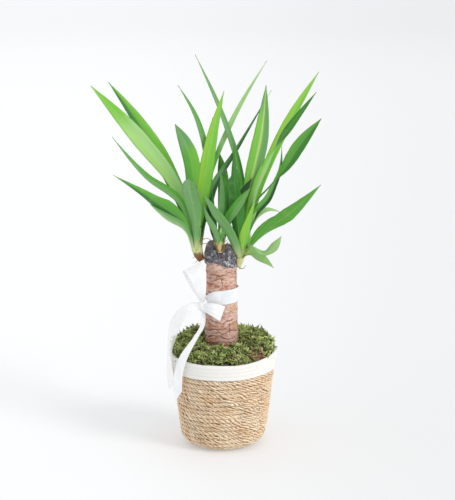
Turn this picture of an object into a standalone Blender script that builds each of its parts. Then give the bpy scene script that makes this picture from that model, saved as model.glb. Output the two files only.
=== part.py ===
# Potted yucca: a thick bark-covered cane with three leafy shoots, planted in a plastic
# nursery pot that stands in a coiled seagrass basket with a cream rim, topped with moss
# and tied with a satin ribbon. Modelled in metres, +Z up, the basket standing on Z = 0.
# Sizes below are written in millimetres times MM. +X is right and -Y is the front.
import bpy
import bmesh
import math
from mathutils import Vector, noise

MM = 0.001
GAP = 0.3 * MM                      # clearance between neighbouring pieces

# Basket: a coiled seagrass bowl, rows of twisted rope laid on each other
BASKET_FLOOR_RADIUS = 46 * MM       # flat ring that stands on the ground
BASKET_CORNER = 27 * MM             # rounding from the floor into the wall
BASKET_INNER_FLOOR = 54 * MM        # radius of the flat floor inside
BASKET_LOW_RADIUS = 77.5 * MM
BASKET_TOP_RADIUS = 91 * MM
BASKET_WALL = 6 * MM
ROPE_PITCH = 8 * MM
ROPE_ROWS = 14
ROPE_RELIEF = 1.0 * MM
BASKET_TOP = BASKET_CORNER + ROPE_ROWS * ROPE_PITCH

# Cream rim: the last coils, wrapped in pale fibre and flaring outwards
RIM_HEIGHT = 31 * MM
RIM_LOW_RADIUS = 92.8 * MM
RIM_TOP_RADIUS = 96 * MM
RIM_WALL = 7 * MM
RIM_BASE = BASKET_TOP + GAP
RIM_TOP = RIM_BASE + RIM_HEIGHT

# Plastic nursery pot inside the basket
POT_BASE = BASKET_WALL + GAP
POT_TOP = 150 * MM
POT_LOW_RADIUS = 53 * MM
POT_TOP_RADIUS = 79 * MM
POT_WALL = 1.8 * MM
POT_LIP = 3 * MM
DRAIN_RADIUS = 4 * MM
DRAIN_COUNT = 5
DRAIN_CIRCLE = 38 * MM

# Soil and moss
SOIL_TOP = 149 * MM
MOSS_BASE = POT_TOP + GAP
MOSS_EDGE_RADIUS = 87 * MM
MOSS_FRONT_EDGE = 171 * MM
MOSS_BACK_EDGE = 192 * MM
MOSS_FRONT_CROWN = 187 * MM
MOSS_BACK_CROWN = 202 * MM
MOSS_LUMP = 5 * MM

# Cane
TRUNK_X = -2.5 * MM
TRUNK_BASE = 62 * MM
TRUNK_TOP = 332 * MM
TRUNK_LOW_RADIUS = 32 * MM
TRUNK_TOP_RADIUS = 27.3 * MM
TRUNK_RELIEF = 0.9 * MM
SCAR_PITCH = 17 * MM
HOLE_RADIUS = 33.5 * MM               # plain hole in soil and moss for the cane

# Wax seal on the cut top: a disc and three lumps (x, y, z, radius x, radius y, radius z)
WAX_DISC_RADIUS = 27 * MM
WAX_DISC_HEIGHT = 8 * MM
WAX_LUMPS = (
    (-19.5, 0, 344, 14, 15, 30),
    (8, 1, 340, 19, 22, 27),
    (-7, 9, 342, 17, 12, 27),
)
WAX_RELIEF = 0.8 * MM

# Shoots: stems as (x, y, z, radius) in millimetres
STEMS = {
    "shoot_left": ((-38, 0, 336.5, 6), (-41, 0, 342, 8.5), (-45, 0, 354, 10),
                   (-47, 0, 367, 9.5), (-46, 0, 380, 8.5), (-42, 0, 396, 6)),
    "shoot_right": ((28, -2, 324, 4.5), (29, -2, 331, 7), (32, -2, 344, 7.5),
                    (36, -1, 359, 8.5), (40, 0, 374, 9), (45, 0, 392, 5)),
    "shoot_centre": ((-5, -13, 353, 3.5), (-5, -13, 358, 5.5), (-6, -13, 367, 7.5),
                     (-6, -13, 376, 6.5), (-5, -13, 388, 3)),
}

# Leaves. Each row: name, azimuth where it leaves the stem (0 right, 90 back), height of
# its root, then the points it bends through up to its tip, all in millimetres; its
# width; the share of its length at which it is widest; how blunt it tapers; how wide
# its root is against its width; and how far it twists on its way, in degrees
LEAVES = {
    "shoot_left": (
        ("broad_left", 102, 374, ((-79.5, 15, 461), (-149, 40, 549),
            (-236, 66, 641)), 29, .62, 1.6, .4, 0),
        ("dark_left", 84, 372, ((-87.5, 40, 469), (-150, 90, 570), (-210, 130, 643)),
         30, .52, 1.5, .45, 10),
        ("arching_left", 115, 371, ((-77, -20, 449), (-131, -50, 495), (-187, -80, 566)),
         14, .45, 1.3, .5, 0),
        ("low_left", 192, 374, ((-70, -20, 408), (-120.5, -60, 456), (-184, -110, 505)),
         29, .48, .65, .42, 85),
        ("low_short", 205, 369, ((-68, -20, 400), (-95, -35, 420), (-125, -62, 447)),
         14.5, .5, 1.7, .6, 60),
        ("upright_left", 80, 372, ((-49.5, 15, 450), (-57, 35, 515),
            (-86, 62, 573)), 29, .6, 2.8, .45, 0),
        ("nodding", 258, 371, ((-49, -35, 426), (-56, -84, 476),
            (-56, -138, 503)), 29, .55, 2.6, .35, 0),
        ("bright", 108, 376, ((-32.5, -12, 479), (-20, -20, 556),
            (2.5, -28, 640)), 30, .5, 1.6, .35, 15),
        ("thin_left", 60, 379, ((-28, 50, 513), (-46.5, 80, 580), (-82, 115, 638)), 12, .45, 2, .6, 30),
        ("dark_centre", 70, 380, ((-35, 30, 465), (-29, 50, 525),
            (-18, 75, 584)), 17, .55, 1.8, .6, 30),
        ("long_crossing", 40, 383, ((-20, 40, 491), (15.5, 80, 575),
            (80, 125, 682)), 9.5, .6, 1.4, .5, 50),
        ("thin_crossing", 352, 379, ((-19, 10, 461), (24, 66, 526),
            (88, 108, 630)), 18, .24, .7, .7, 100),
        ("back_left", 95, 370, ((-84, 65, 463), (-132, 130, 526),
            (-190, 190, 576)), 22, .5, 1.6, .5, 0),
        ("back_middle", 88, 372, ((-45, 70, 450), (-50, 130, 490),
            (-57, 185, 505)), 26, .5, 1.6, .5, 0),
        ("back_right", 70, 374, ((-30, 62, 470), (-25, 118, 515), (-21, 168, 545)), 24, .5, 1.6, .5, 0),
    ),
    "shoot_right": (
        ("tallest", 100, 374, ((34, 40, 475), (7, 66, 568), (-50, 104, 694)), 11, .5, 1.6, .5, 0),
        ("channelled", 92, 372, ((51, 10, 480), (67, 12, 554), (76, 20, 646)), 29, .6, 1.7, .45, -8),
        ("lime", 62, 371, ((67, 40, 466), (108.5, 76, 557), (175, 124, 662)), 18, .6, 1.9, .6, 20),
        ("turned", 282, 375, ((56, 2, 463), (69, 8, 494), (96, 20, 539), (165.5, 40, 632)),
         15, .6, 2.2, .7, 180),
        ("broad_right", 350, 373, ((60, -10, 446), (80, -22, 470), (99, -36, 495),
            (135.5, -58, 555), (167, -78, 597)),
         22, .76, 1.6, .15, 88),
        ("thin_right", 20, 372, ((61, 14, 423), (80, 30, 442), (91, 44, 462), (103, 58, 491),
            (106, 70, 532)),
         15, .4, 1.3, .5, 60),
        ("low_right", 325, 365, ((76, -20, 394), (117.5, -55, 432), (166, -100, 487)),
         24, .55, 1.15, .38, -70),
        ("arch", 20, 371, ((60, 10, 416), (76, 25, 423), (106, 50, 414)), 12, .5, 1.8, .6, 60),
        ("drooping", 315, 357, ((53, -22, 356), (65, -34, 350), (77, -46, 344), (89, -56, 334)),
         17, .5, 1.6, .5, 80),
        ("curled", 345, 372, ((52, -22, 365), (61, -30, 362), (71, -38, 358), (85, -46, 366),
            (102, -53, 390)),
         17, .7, 1.6, .75, 260),
        ("front_left", 246, 358, ((12, -30, 391), (-10, -64, 430),
            (-32, -98, 471)), 22, .5, 1.9, .75, 0),
        ("spear", 265, 360, ((26, -25, 419), (21, -46, 476), (19, -84, 554)), 26, .45, .75, .6, 0),
        ("lit_spear", 285, 362, ((39, -19, 390), (46, -21, 414), (57, -23, 451)), 19, .35, 1.2, .8, 0),
        ("back_middle", 88, 370, ((55, 62, 470), (68, 122, 525), (77, 180, 572)), 24, .55, 1.6, .5, 0),
        ("back_right", 70, 369, ((65, 68, 458), (90, 128, 512), (117, 185, 546)), 14, .55, 1.6, .5, 10),
        ("back_left", 100, 369, ((35, 60, 435), (30, 105, 470), (28, 150, 489)), 20, .55, 1.6, .5, 0),
        ("back_low", 40, 365, ((70, 48, 382), (105, 95, 397), (137, 140, 404)), 20, .55, 1.6, .5, 30),
    ),
    "shoot_centre": (
        ("small_left", 240, 362, ((-13, -24, 391), (-27, -30, 420),
            (-36, -34, 446)), 13, .5, 1.5, .6, 10),
        ("dark_left", 215, 368, ((-16, -13, 390), (-19, -13, 420),
            (-18, -11, 466)), 15, .5, 1.5, .7, 45),
        ("grey_front", 268, 366, ((0, -22, 417), (2, -32, 464), (-4, -46, 503)), 19, .55, 1.8, .4, 10),
        ("mid_front", 280, 366, ((3, -16, 410), (8, -20, 441), (14, -22, 470)), 18, .55, 1.8, .5, 10),
        ("dark_round", 80, 367, ((-1, 16, 417), (1, 50, 469), (-6, 76, 519)), 20, .66, 2.4, .4, 0),
        ("dark_right", 330, 367, ((13, -4, 409), (30, 1, 446), (52, 4, 484)), 25, .6, 1.7, .4, 70),
        ("front_right", 300, 365, ((2, -24, 400), (20, -42, 434),
            (48, -74, 478)), 18, .6, 1.8, .5, -30),
        ("spike", 285, 363, ((-5, -19, 380), (-3, -23, 394), (-1, -28, 409)), 8, .5, 1.7, .6, 0),
        ("back", 85, 369, ((5, 38, 427), (10, 82, 455), (15, 125, 470)), 20, .55, 1.7, .5, 0),
    ),
}
LEAF_STATIONS = (6, 9)              # fewest and most segments along a leaf
LEAF_SEGMENT = 26 * MM              # longest segment where the most isn't reached
LEAF_THICKNESS = 0.9 * MM
LEAF_TIP_WIDTH = 1.2 * MM
TWIST_SPAN = (0.0, .55)             # stretch of its length over which a leaf twists
LATE_TWISTS = {                     # the same stretch for leaves that twist elsewhere
    "turned": (.4, .85),
    "broad_right": (.34, .68),
    "thin_crossing": (0, .28),
    "curled": (-.35, 1.05),
    "drooping": (-.4, .5),
}
LEAF_SHEATH = 15                    # how far below its root a leaf's base wraps the stem, mm
LEAF_INSET = 1.5                    # how deep that base sits in the stem, mm
ROOT_FOLD = 0.30                    # depth of the channel against the width, at the root
TIP_FOLD = 0.10

# Ribbon: a satin strip as pairs of edges, each a list of points in millimetres
BAND_RADIUS = 29.6 * MM
BAND_WIDTH = 26 * MM
BAND_HEIGHT = 274 * MM
BAND_TILT = 2.5 * MM
RIBBON_THICKNESS = 0.8 * MM
KNOT_CENTRE = (-34.5, -17, 258)
KNOT_RADII = (8, 8, 13)
RIBBON_STRIPS = {
    "upper_loop": (
        ((-37, -20, 260), (-50, -34, 290), (-64, -36, 318), (-70, -28, 322), (-60, -20, 297),
         (-38, -18, 262)),
        ((-32, -24, 266), (-29, -38, 300), (-32, -40, 332), (-39, -31, 339), (-39, -24, 312),
         (-35, -20, 268)),
    ),
    "short_end": (
        ((-34, -24, 263), (-14, -37, 266), (4, -38, 261)),
        ((-34, -24, 249), (-17, -37, 241), (-5, -38, 233)),
    ),
    "front_tail": (
        ((-38, -18, 252), (-40, -34, 226), (-51, -48, 209), (-76, -73, 178), (-86, -66, 145),
         (-84, -61, 94)),
        ((-33, -20, 252), (-32, -38, 227), (-43, -54, 209), (-60, -82, 183), (-70, -76, 149),
         (-72, -71, 115)),
    ),
    "left_tail": (
        ((-37, -18, 264), (-59, -18, 262), (-82, -14, 246), (-93, -12, 227), (-99, -18, 175),
         (-100, -20, 135),
         (-97, -26, 107)),
        ((-37, -20, 251), (-55, -28, 249), (-69, -36, 236), (-79, -42, 214), (-90, -46, 180),
         (-89, -46, 149),
         (-87, -48, 120)),
    ),
}
RIBBON_STATIONS = 12

SIDES = 38                          # facets round the basket, the moss and the ribbon
POT_SIDES = 32
TRUNK_SIDES = 24
TRUNK_ROWS = 30


def clear_scene():
    for item in list(bpy.data.objects):
        bpy.data.objects.remove(item, do_unlink=True)


def make_material(name, color, roughness, metallic=0.0):
    material = bpy.data.materials.new(name)
    material.use_nodes = True
    shader = material.node_tree.nodes["Principled BSDF"]
    shader.inputs["Base Color"].default_value = (*color, 1.0)
    shader.inputs["Roughness"].default_value = roughness
    shader.inputs["Metallic"].default_value = metallic
    return material


def add_object(name, mesh, collection):
    item = bpy.data.objects.new(name, mesh)
    collection.objects.link(item)
    return item


def finish(item, material):
    item.data.materials.clear()
    item.data.materials.append(material)
    item.data.shade_smooth()
    item.data.set_sharp_from_angle(angle=math.radians(40))
    return item


def evaluated_mesh(item):
    bpy.context.view_layer.update()
    graph = bpy.context.evaluated_depsgraph_get()
    return bpy.data.meshes.new_from_object(item.evaluated_get(graph))


def apply_modifiers(item):
    mesh = evaluated_mesh(item)
    item.modifiers.clear()
    item.data = mesh


def islands(form):
    """The connected bodies of a mesh, as lists of faces."""
    waiting = set(form.faces)
    found = []
    while waiting:
        edge_faces = [waiting.pop()]
        body = list(edge_faces)
        while edge_faces:
            face = edge_faces.pop()
            for edge in face.edges:
                for other in edge.link_faces:
                    if other in waiting:
                        waiting.remove(other)
                        edge_faces.append(other)
                        body.append(other)
        found.append(body)
    return found


def keep_main_body(item):
    """Drop loose scraps, and fill hollows that fusing has sealed."""
    form = bmesh.new()
    form.from_mesh(item.data)
    bodies = sorted(islands(form), key=lambda body: sum(face.calc_area() for face in body))
    for body in bodies[:-1]:
        bmesh.ops.delete(form, geom=body, context="FACES")
    form.to_mesh(item.data)
    form.free()


def add_boolean(item, operation, other=None, collection=None):
    modifier = item.modifiers.new(operation.title(), "BOOLEAN")
    modifier.operation = operation
    modifier.solver = "MANIFOLD"
    if collection is None:
        modifier.object = other
    else:
        modifier.operand_type = "COLLECTION"
        modifier.collection = collection
    return modifier


def turned(name, profile, collection, sides=SIDES):
    """A closed profile of (radius, height) turned once about Z."""
    mesh = bpy.data.meshes.new(name)
    form = bmesh.new()
    points = [form.verts.new((radius, 0, height)) for radius, height in profile]
    for first, second in zip(points, points[1:]):
        form.edges.new((first, second))
    if profile[0][0] > 0:
        form.edges.new((points[-1], points[0]))
    form.to_mesh(mesh)
    form.free()
    item = add_object(name, mesh, collection)
    screw = item.modifiers.new("Turn", "SCREW")
    screw.steps = sides
    screw.render_steps = sides
    screw.use_merge_vertices = True
    screw.merge_threshold = 0.00005
    screw.use_normal_calculate = True
    return item


def face_outwards(mesh):
    form = bmesh.new()
    form.from_mesh(mesh)
    bmesh.ops.remove_doubles(form, verts=form.verts, dist=0.00002)
    bmesh.ops.recalc_face_normals(form, faces=form.faces)
    form.to_mesh(mesh)
    form.free()


def basket_outer(height):
    share = (height - BASKET_CORNER) / (BASKET_TOP - BASKET_CORNER)
    return BASKET_LOW_RADIUS + (BASKET_TOP_RADIUS - BASKET_LOW_RADIUS) * share


def build_basket(collection, material):
    profile = [(0.0, 0.0), (BASKET_FLOOR_RADIUS, 0.0)]
    for step in range(1, 6):
        angle = math.radians(90 * step / 6)
        radius = BASKET_FLOOR_RADIUS + (BASKET_LOW_RADIUS - BASKET_FLOOR_RADIUS) * math.sin(angle)
        profile.append((radius, BASKET_CORNER * (1 - math.cos(angle))))
    for row in range(ROPE_ROWS):
        low = BASKET_CORNER + row * ROPE_PITCH
        profile.append((basket_outer(low) - ROPE_RELIEF, low))
        profile.append((basket_outer(low + ROPE_PITCH / 2), low + ROPE_PITCH / 2))
    profile.append((BASKET_TOP_RADIUS - ROPE_RELIEF, BASKET_TOP))
    profile.append((BASKET_TOP_RADIUS - BASKET_WALL, BASKET_TOP))
    profile.append((BASKET_LOW_RADIUS - BASKET_WALL, BASKET_CORNER))
    for step in range(4, 0, -1):
        angle = math.radians(90 * step / 5)
        inner = BASKET_LOW_RADIUS - BASKET_WALL - BASKET_INNER_FLOOR
        radius = BASKET_INNER_FLOOR + inner * math.sin(angle)
        profile.append((radius, BASKET_WALL + (BASKET_CORNER - BASKET_WALL) * (1 - math.cos(angle))))
    profile.append((BASKET_INNER_FLOOR, BASKET_WALL))
    profile.append((0.0, BASKET_WALL))
    item = turned("basket", profile, collection)
    apply_modifiers(item)
    face_outwards(item.data)
    return finish(item, material)


def build_rim(collection, material):
    steps = 4
    profile = []
    for step in range(steps + 1):
        share = step / steps
        radius = RIM_LOW_RADIUS + (RIM_TOP_RADIUS - RIM_LOW_RADIUS) * share
        profile.append((radius, RIM_BASE + (RIM_HEIGHT - RIM_WALL / 2) * share))
    for step in range(1, 4):
        angle = math.radians(180 * step / 4)
        centre = RIM_TOP_RADIUS - RIM_WALL / 2
        height = RIM_TOP - RIM_WALL / 2 * (1 - math.sin(angle))
        profile.append((centre + RIM_WALL / 2 * math.cos(angle), height))
    for step in range(2, -1, -1):
        share = step / 2
        radius = RIM_LOW_RADIUS + (RIM_TOP_RADIUS - RIM_LOW_RADIUS) * share - RIM_WALL
        profile.append((radius, RIM_BASE + (RIM_HEIGHT - RIM_WALL / 2) * share))
    item = turned("basket_rim", profile, collection)
    apply_modifiers(item)
    face_outwards(item.data)
    return finish(item, material)


def pot_outer(height):
    return POT_LOW_RADIUS + (POT_TOP_RADIUS - POT_LOW_RADIUS) * (height - POT_BASE) / (POT_TOP - POT_BASE)


def build_pot(collection, cutters, material):
    floor = POT_BASE + POT_WALL
    profile = [(0.0, POT_BASE), (POT_LOW_RADIUS, POT_BASE)]
    profile.append((pot_outer(POT_TOP - POT_LIP), POT_TOP - POT_LIP))
    profile.append((POT_TOP_RADIUS + POT_WALL, POT_TOP - POT_LIP))
    profile.append((POT_TOP_RADIUS + POT_WALL, POT_TOP))
    profile.append((POT_TOP_RADIUS - POT_WALL, POT_TOP))
    profile.append((pot_outer(floor) - POT_WALL, floor))
    profile.append((0.0, floor))
    item = turned("nursery_pot", profile, collection, POT_SIDES)
    apply_modifiers(item)
    face_outwards(item.data)
    for index in range(DRAIN_COUNT):
        angle = 2 * math.pi * index / DRAIN_COUNT
        place = (DRAIN_CIRCLE * math.cos(angle), DRAIN_CIRCLE * math.sin(angle), floor)
        bpy.ops.mesh.primitive_cylinder_add(vertices=8, radius=DRAIN_RADIUS, depth=4 * POT_WALL,
                                            location=place)
        cutter = take_cutter(f"drain_{index}", cutters)
        add_boolean(item, "DIFFERENCE", cutter)
    apply_modifiers(item)
    drop_cutters(cutters)
    return finish(item, material)


def take_cutter(name, cutters):
    cutter = bpy.context.object
    cutter.name = name
    for collection in list(cutter.users_collection):
        collection.objects.unlink(cutter)
    cutters.objects.link(cutter)
    cutter.hide_render = True
    cutter.display_type = "WIRE"
    return cutter


def drop_cutters(cutters):
    for cutter in list(cutters.objects):
        bpy.data.objects.remove(cutter, do_unlink=True)


def build_soil(collection, cutters, material):
    low = POT_BASE + POT_WALL + GAP
    clear = POT_WALL + GAP
    profile = [(0.0, low), (pot_outer(low) - clear, low), (pot_outer(SOIL_TOP) - clear, SOIL_TOP)]
    profile.append((0.0, SOIL_TOP))
    item = turned("soil", profile, collection, POT_SIDES)
    apply_modifiers(item)
    face_outwards(item.data)
    cut_hole(item, cutters, TRUNK_BASE - GAP, SOIL_TOP + 10 * MM)
    return finish(item, material)


def cut_hole(item, cutters, low, high):
    bpy.ops.mesh.primitive_cylinder_add(vertices=32, radius=HOLE_RADIUS, depth=high - low,
                                        location=(TRUNK_X, 0, (low + high) / 2))
    add_boolean(item, "DIFFERENCE", take_cutter("hole", cutters))
    apply_modifiers(item)
    drop_cutters(cutters)


def moss_height(radius, angle):
    """A mound with soft lumps, higher at the back than at the front."""
    share = radius / MOSS_EDGE_RADIUS
    back = 0.5 + 0.5 * math.sin(angle)
    edge = MOSS_FRONT_EDGE + (MOSS_BACK_EDGE - MOSS_FRONT_EDGE) * back
    crown = MOSS_FRONT_CROWN + (MOSS_BACK_CROWN - MOSS_FRONT_CROWN) * back
    swell = noise.noise(Vector((radius * math.cos(angle), radius * math.sin(angle), 0)) / (16 * MM))
    return edge + (crown - edge) * (1 - share ** 3) + MOSS_LUMP * swell


def build_moss(collection, cutters, material):
    mesh = bpy.data.meshes.new("moss")
    form = bmesh.new()
    rings = [(MOSS_EDGE_RADIUS - 3.5 * MM, MOSS_BASE, False),
             (MOSS_EDGE_RADIUS, MOSS_FRONT_EDGE - 6 * MM, False)]
    rings += [(MOSS_EDGE_RADIUS * share, None, True) for share in (.97, .88, .78, .68, .58, .48, .38, .2)]
    previous = None
    for radius, height, shaped in rings:
        ring = []
        for step in range(SIDES):
            angle = 2 * math.pi * step / SIDES
            z = moss_height(radius, angle) if shaped else height
            ring.append(form.verts.new((radius * math.cos(angle), radius * math.sin(angle), z)))
        if previous is None:
            form.faces.new(ring[::-1])
        else:
            for step in range(SIDES):
                following = (step + 1) % SIDES
                form.faces.new((previous[step], previous[following], ring[following], ring[step]))
        previous = ring
    form.faces.new(previous)
    bmesh.ops.triangulate(form, faces=form.faces)
    form.to_mesh(mesh)
    form.free()
    item = add_object("moss", mesh, collection)
    cut_hole(item, cutters, MOSS_BASE - 10 * MM, MOSS_BACK_CROWN + 40 * MM)
    return finish(item, material)


def trunk_radius(angle, height):
    """Bark: rings of leaf scars that run a little askew, with shallow lumps."""
    share = (height - TRUNK_BASE) / (TRUNK_TOP - TRUNK_BASE)
    radius = TRUNK_LOW_RADIUS + (TRUNK_TOP_RADIUS - TRUNK_LOW_RADIUS) * share
    askew = height + 5 * MM * math.sin(angle + height / (40 * MM))
    scar = abs(math.sin(math.pi * askew / SCAR_PITCH)) - 0.5
    lump = noise.noise(Vector((math.cos(angle) * 1.5, math.sin(angle) * 1.5, height / (22 * MM))))
    return radius + TRUNK_RELIEF * (0.6 * scar + 0.8 * lump)


def build_trunk(collection, material):
    mesh = bpy.data.meshes.new("trunk")
    form = bmesh.new()
    previous = None
    for row in range(TRUNK_ROWS + 1):
        height = TRUNK_BASE + (TRUNK_TOP - TRUNK_BASE) * row / TRUNK_ROWS
        ring = []
        for step in range(TRUNK_SIDES):
            angle = 2 * math.pi * step / TRUNK_SIDES
            radius = trunk_radius(angle, height)
            place = (TRUNK_X + radius * math.cos(angle), radius * math.sin(angle), height)
            ring.append(form.verts.new(place))
        if previous is None:
            form.faces.new(ring[::-1])
        else:
            for step in range(TRUNK_SIDES):
                following = (step + 1) % TRUNK_SIDES
                form.faces.new((previous[step], previous[following], ring[following], ring[step]))
        previous = ring
    form.faces.new(previous)
    form.to_mesh(mesh)
    form.free()
    return finish(add_object("trunk", mesh, collection), material)


def wax_solid(name, collection, swell):
    """The wax seal, grown by swell all round where it serves as a cutter."""
    low = TRUNK_TOP + GAP - swell
    high = TRUNK_TOP + GAP + WAX_DISC_HEIGHT
    bpy.ops.mesh.primitive_cylinder_add(vertices=28, radius=WAX_DISC_RADIUS + swell, depth=high - low,
                                        location=(TRUNK_X, 0, (low + high) / 2))
    item = take_cutter(name, collection)
    item.hide_render = False
    item.display_type = "TEXTURED"
    lumps = bpy.data.collections.new(name + "_lumps")
    bpy.context.scene.collection.children.link(lumps)
    for index, (x, y, z, rx, ry, rz) in enumerate(WAX_LUMPS):
        bpy.ops.mesh.primitive_uv_sphere_add(segments=14, ring_count=9)
        lump = take_cutter(f"{name}_lump_{index}", lumps)
        for vertex in lump.data.vertices:
            point = vertex.co
            ripple = WAX_RELIEF * noise.noise(Vector((x, y, z)) + point * 2.2) if swell == 0 else 0.0
            vertex.co = Vector((x * MM + point.x * (rx * MM + swell + ripple),
                                y * MM + point.y * (ry * MM + swell + ripple),
                                z * MM + point.z * (rz * MM + swell + ripple)))
    add_boolean(item, "UNION", collection=lumps)
    item.data = item.data.copy()
    apply_modifiers(item)
    for lump in list(lumps.objects):
        bpy.data.objects.remove(lump, do_unlink=True)
    bpy.data.collections.remove(lumps)
    return item


def build_wax(collection, cutters, material):
    item = wax_solid("wax_cap", collection, 0.0)
    bpy.ops.mesh.primitive_cylinder_add(vertices=28, radius=60 * MM, depth=60 * MM,
                                        location=(TRUNK_X, 0, TRUNK_TOP + GAP - 30 * MM))
    add_boolean(item, "DIFFERENCE", take_cutter("below_wax", cutters))
    apply_modifiers(item)
    drop_cutters(cutters)
    return finish(item, material)


def smooth_path(points, count):
    """Count + 1 points on a smooth curve through the given points."""
    points = [Vector(point) for point in points]
    along = [0.0]
    for first, second in zip(points, points[1:]):
        along.append(along[-1] + (second - first).length)
    speeds = []
    for index in range(1, len(points) - 1):
        before = along[index] - along[index - 1]
        after = along[index + 1] - along[index]
        speed = (points[index] - points[index - 1]) / before * after
        speed += (points[index + 1] - points[index]) / after * before
        speeds.append(speed / (before + after))
    start = (points[1] - points[0]) / along[1]
    end = (points[-1] - points[-2]) / (along[-1] - along[-2])
    speeds = [1.5 * start - 0.5 * speeds[0]] + speeds + [1.5 * end - 0.5 * speeds[-1]]
    path = []
    for step in range(count + 1):
        distance = along[-1] * step / count
        index = 0
        while index < len(points) - 2 and distance > along[index + 1]:
            index += 1
        span = along[index + 1] - along[index]
        t = (distance - along[index]) / span
        point = (2 * t ** 3 - 3 * t ** 2 + 1) * points[index]
        point += (t ** 3 - 2 * t ** 2 + t) * span * speeds[index]
        point += (3 * t ** 2 - 2 * t ** 3) * points[index + 1]
        point += (t ** 3 - t ** 2) * span * speeds[index + 1]
        path.append(point)
    return path


def leaf_share(t, peak, taper, root):
    """Width of a leaf at t of its length, against its greatest width."""
    if t < peak:
        rise = t / peak
        return root + (1 - root) * rise * rise * (3 - 2 * rise)
    return 1 - ((t - peak) / (1 - peak)) ** taper


def stem_at(shoot, height):
    """The middle and the radius of the shoot's stem at a height, in millimetres."""
    stem = STEMS[shoot]
    for low, high in zip(stem, stem[1:]):
        if height <= high[2]:
            share = max(0.0, (height - low[2]) / (high[2] - low[2]))
            return Vector(low[:3]).lerp(Vector(high[:3]), share), low[3] + (high[3] - low[3]) * share
    return Vector(stem[-1][:3]), stem[-1][3]


def leaf_turn(name, twist, t):
    """How far a leaf has twisted about its own length at t of it."""
    start, end = LATE_TWISTS.get(name, TWIST_SPAN)
    share = min(1.0, max(0.0, (t - start) / (end - start)))
    return math.radians(twist) * share * share * (3 - 2 * share)


def build_leaf(shoot, row, collection):
    name, azimuth, root_height, bends, width, peak, taper, root, twist = row
    azimuth = math.radians(azimuth)
    outward = Vector((math.cos(azimuth), math.sin(azimuth), 0))
    middle, radius = stem_at(shoot, root_height - LEAF_SHEATH)
    start = middle + outward * max(1.0, radius - LEAF_INSET)
    places = [point * MM for point in [start] + [Vector(bend) for bend in bends]]
    length = sum((second - first).length for first, second in zip(places, places[1:]))
    stations = min(max(math.ceil(length / LEAF_SEGMENT), LEAF_STATIONS[0]), LEAF_STATIONS[1])
    path = [point * MM for point in smooth_path((start,) + bends, stations)]
    across = Vector((-math.sin(azimuth), math.cos(azimuth), 0))
    mesh = bpy.data.meshes.new(name)
    form = bmesh.new()
    previous = None
    for step, point in enumerate(path):
        t = step / stations
        along = (path[min(step + 1, stations)] - path[max(step - 1, 0)]).normalized()
        across = (across - along * across.dot(along)).normalized()
        turn = leaf_turn(name, twist, t)
        face = along.cross(across)
        side = across * math.cos(turn) + face * math.sin(turn)
        face = along.cross(side)
        half = max(width * MM * leaf_share(t, peak, taper, root), LEAF_TIP_WIDTH) / 2
        rise = (ROOT_FOLD + (TIP_FOLD - ROOT_FOLD) * min(1.0, 2 * t)) * half * 2
        places = (point - side * half + face * rise / 2, point - face * rise / 2,
                  point + side * half + face * rise / 2)
        ring = [form.verts.new(place) for place in places]
        if previous:
            for left in range(2):
                form.faces.new((previous[left], previous[left + 1], ring[left + 1]))
                form.faces.new((previous[left], ring[left + 1], ring[left]))
        previous = ring
    form.to_mesh(mesh)
    form.free()
    item = add_object(f"{shoot}_{name}", mesh, collection)
    thicken(item, LEAF_THICKNESS)
    return item


def thicken(item, thickness):
    solidify = item.modifiers.new("Solidify", "SOLIDIFY")
    solidify.thickness = thickness
    solidify.offset = 0
    apply_modifiers(item)
    face_outwards(item.data)


def build_stem(shoot, collection):
    curve = bpy.data.curves.new(shoot, "CURVE")
    curve.dimensions = "3D"
    curve.bevel_depth = MM
    curve.bevel_resolution = 2
    curve.resolution_u = 3
    curve.use_fill_caps = True
    spline = curve.splines.new("POLY")
    stem = STEMS[shoot]
    spline.points.add(len(stem) - 1)
    for point, (x, y, z, radius) in zip(spline.points, stem):
        point.co = (x * MM, y * MM, z * MM, 1)
        point.radius = radius
    path = bpy.data.objects.new(shoot + "_path", curve)
    collection.objects.link(path)
    item = add_object(shoot, evaluated_mesh(path), collection)
    bpy.data.objects.remove(path, do_unlink=True)
    face_outwards(item.data)
    return item


def build_shoot(shoot, collection, cutters, material):
    item = build_stem(shoot, collection)
    leaves = bpy.data.collections.new(shoot + "_leaves")
    bpy.context.scene.collection.children.link(leaves)
    for row in LEAVES[shoot]:
        build_leaf(shoot, row, leaves)
    add_boolean(item, "UNION", collection=leaves)
    apply_modifiers(item)
    for leaf in list(leaves.objects):
        bpy.data.objects.remove(leaf, do_unlink=True)
    bpy.data.collections.remove(leaves)
    wax = wax_solid("wax_cutter", cutters, GAP + WAX_RELIEF)
    wax.hide_render = True
    wax.display_type = "WIRE"
    add_boolean(item, "DIFFERENCE", wax)
    bpy.ops.mesh.primitive_cylinder_add(vertices=32, radius=TRUNK_TOP_RADIUS + TRUNK_RELIEF + GAP,
                                        depth=TRUNK_TOP, location=(TRUNK_X, 0, TRUNK_TOP / 2))
    add_boolean(item, "DIFFERENCE", take_cutter("trunk_cutter", cutters))
    apply_modifiers(item)
    drop_cutters(cutters)
    keep_main_body(item)
    return finish(item, material)


def build_strip(name, edges, collection):
    """A ribbon strip lofted between its two edges."""
    left = [point * MM for point in smooth_path(edges[0], RIBBON_STATIONS)]
    right = [point * MM for point in smooth_path(edges[1], RIBBON_STATIONS)]
    mesh = bpy.data.meshes.new(name)
    form = bmesh.new()
    previous = None
    for first, second in zip(left, right):
        ring = [form.verts.new(first.lerp(second, share)) for share in (0, .5, 1)]
        if previous:
            for cell in range(2):
                form.faces.new((previous[cell], previous[cell + 1], ring[cell + 1]))
                form.faces.new((previous[cell], ring[cell + 1], ring[cell]))
        previous = ring
    form.to_mesh(mesh)
    form.free()
    item = add_object(name, mesh, collection)
    thicken(item, RIBBON_THICKNESS)
    return item


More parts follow.
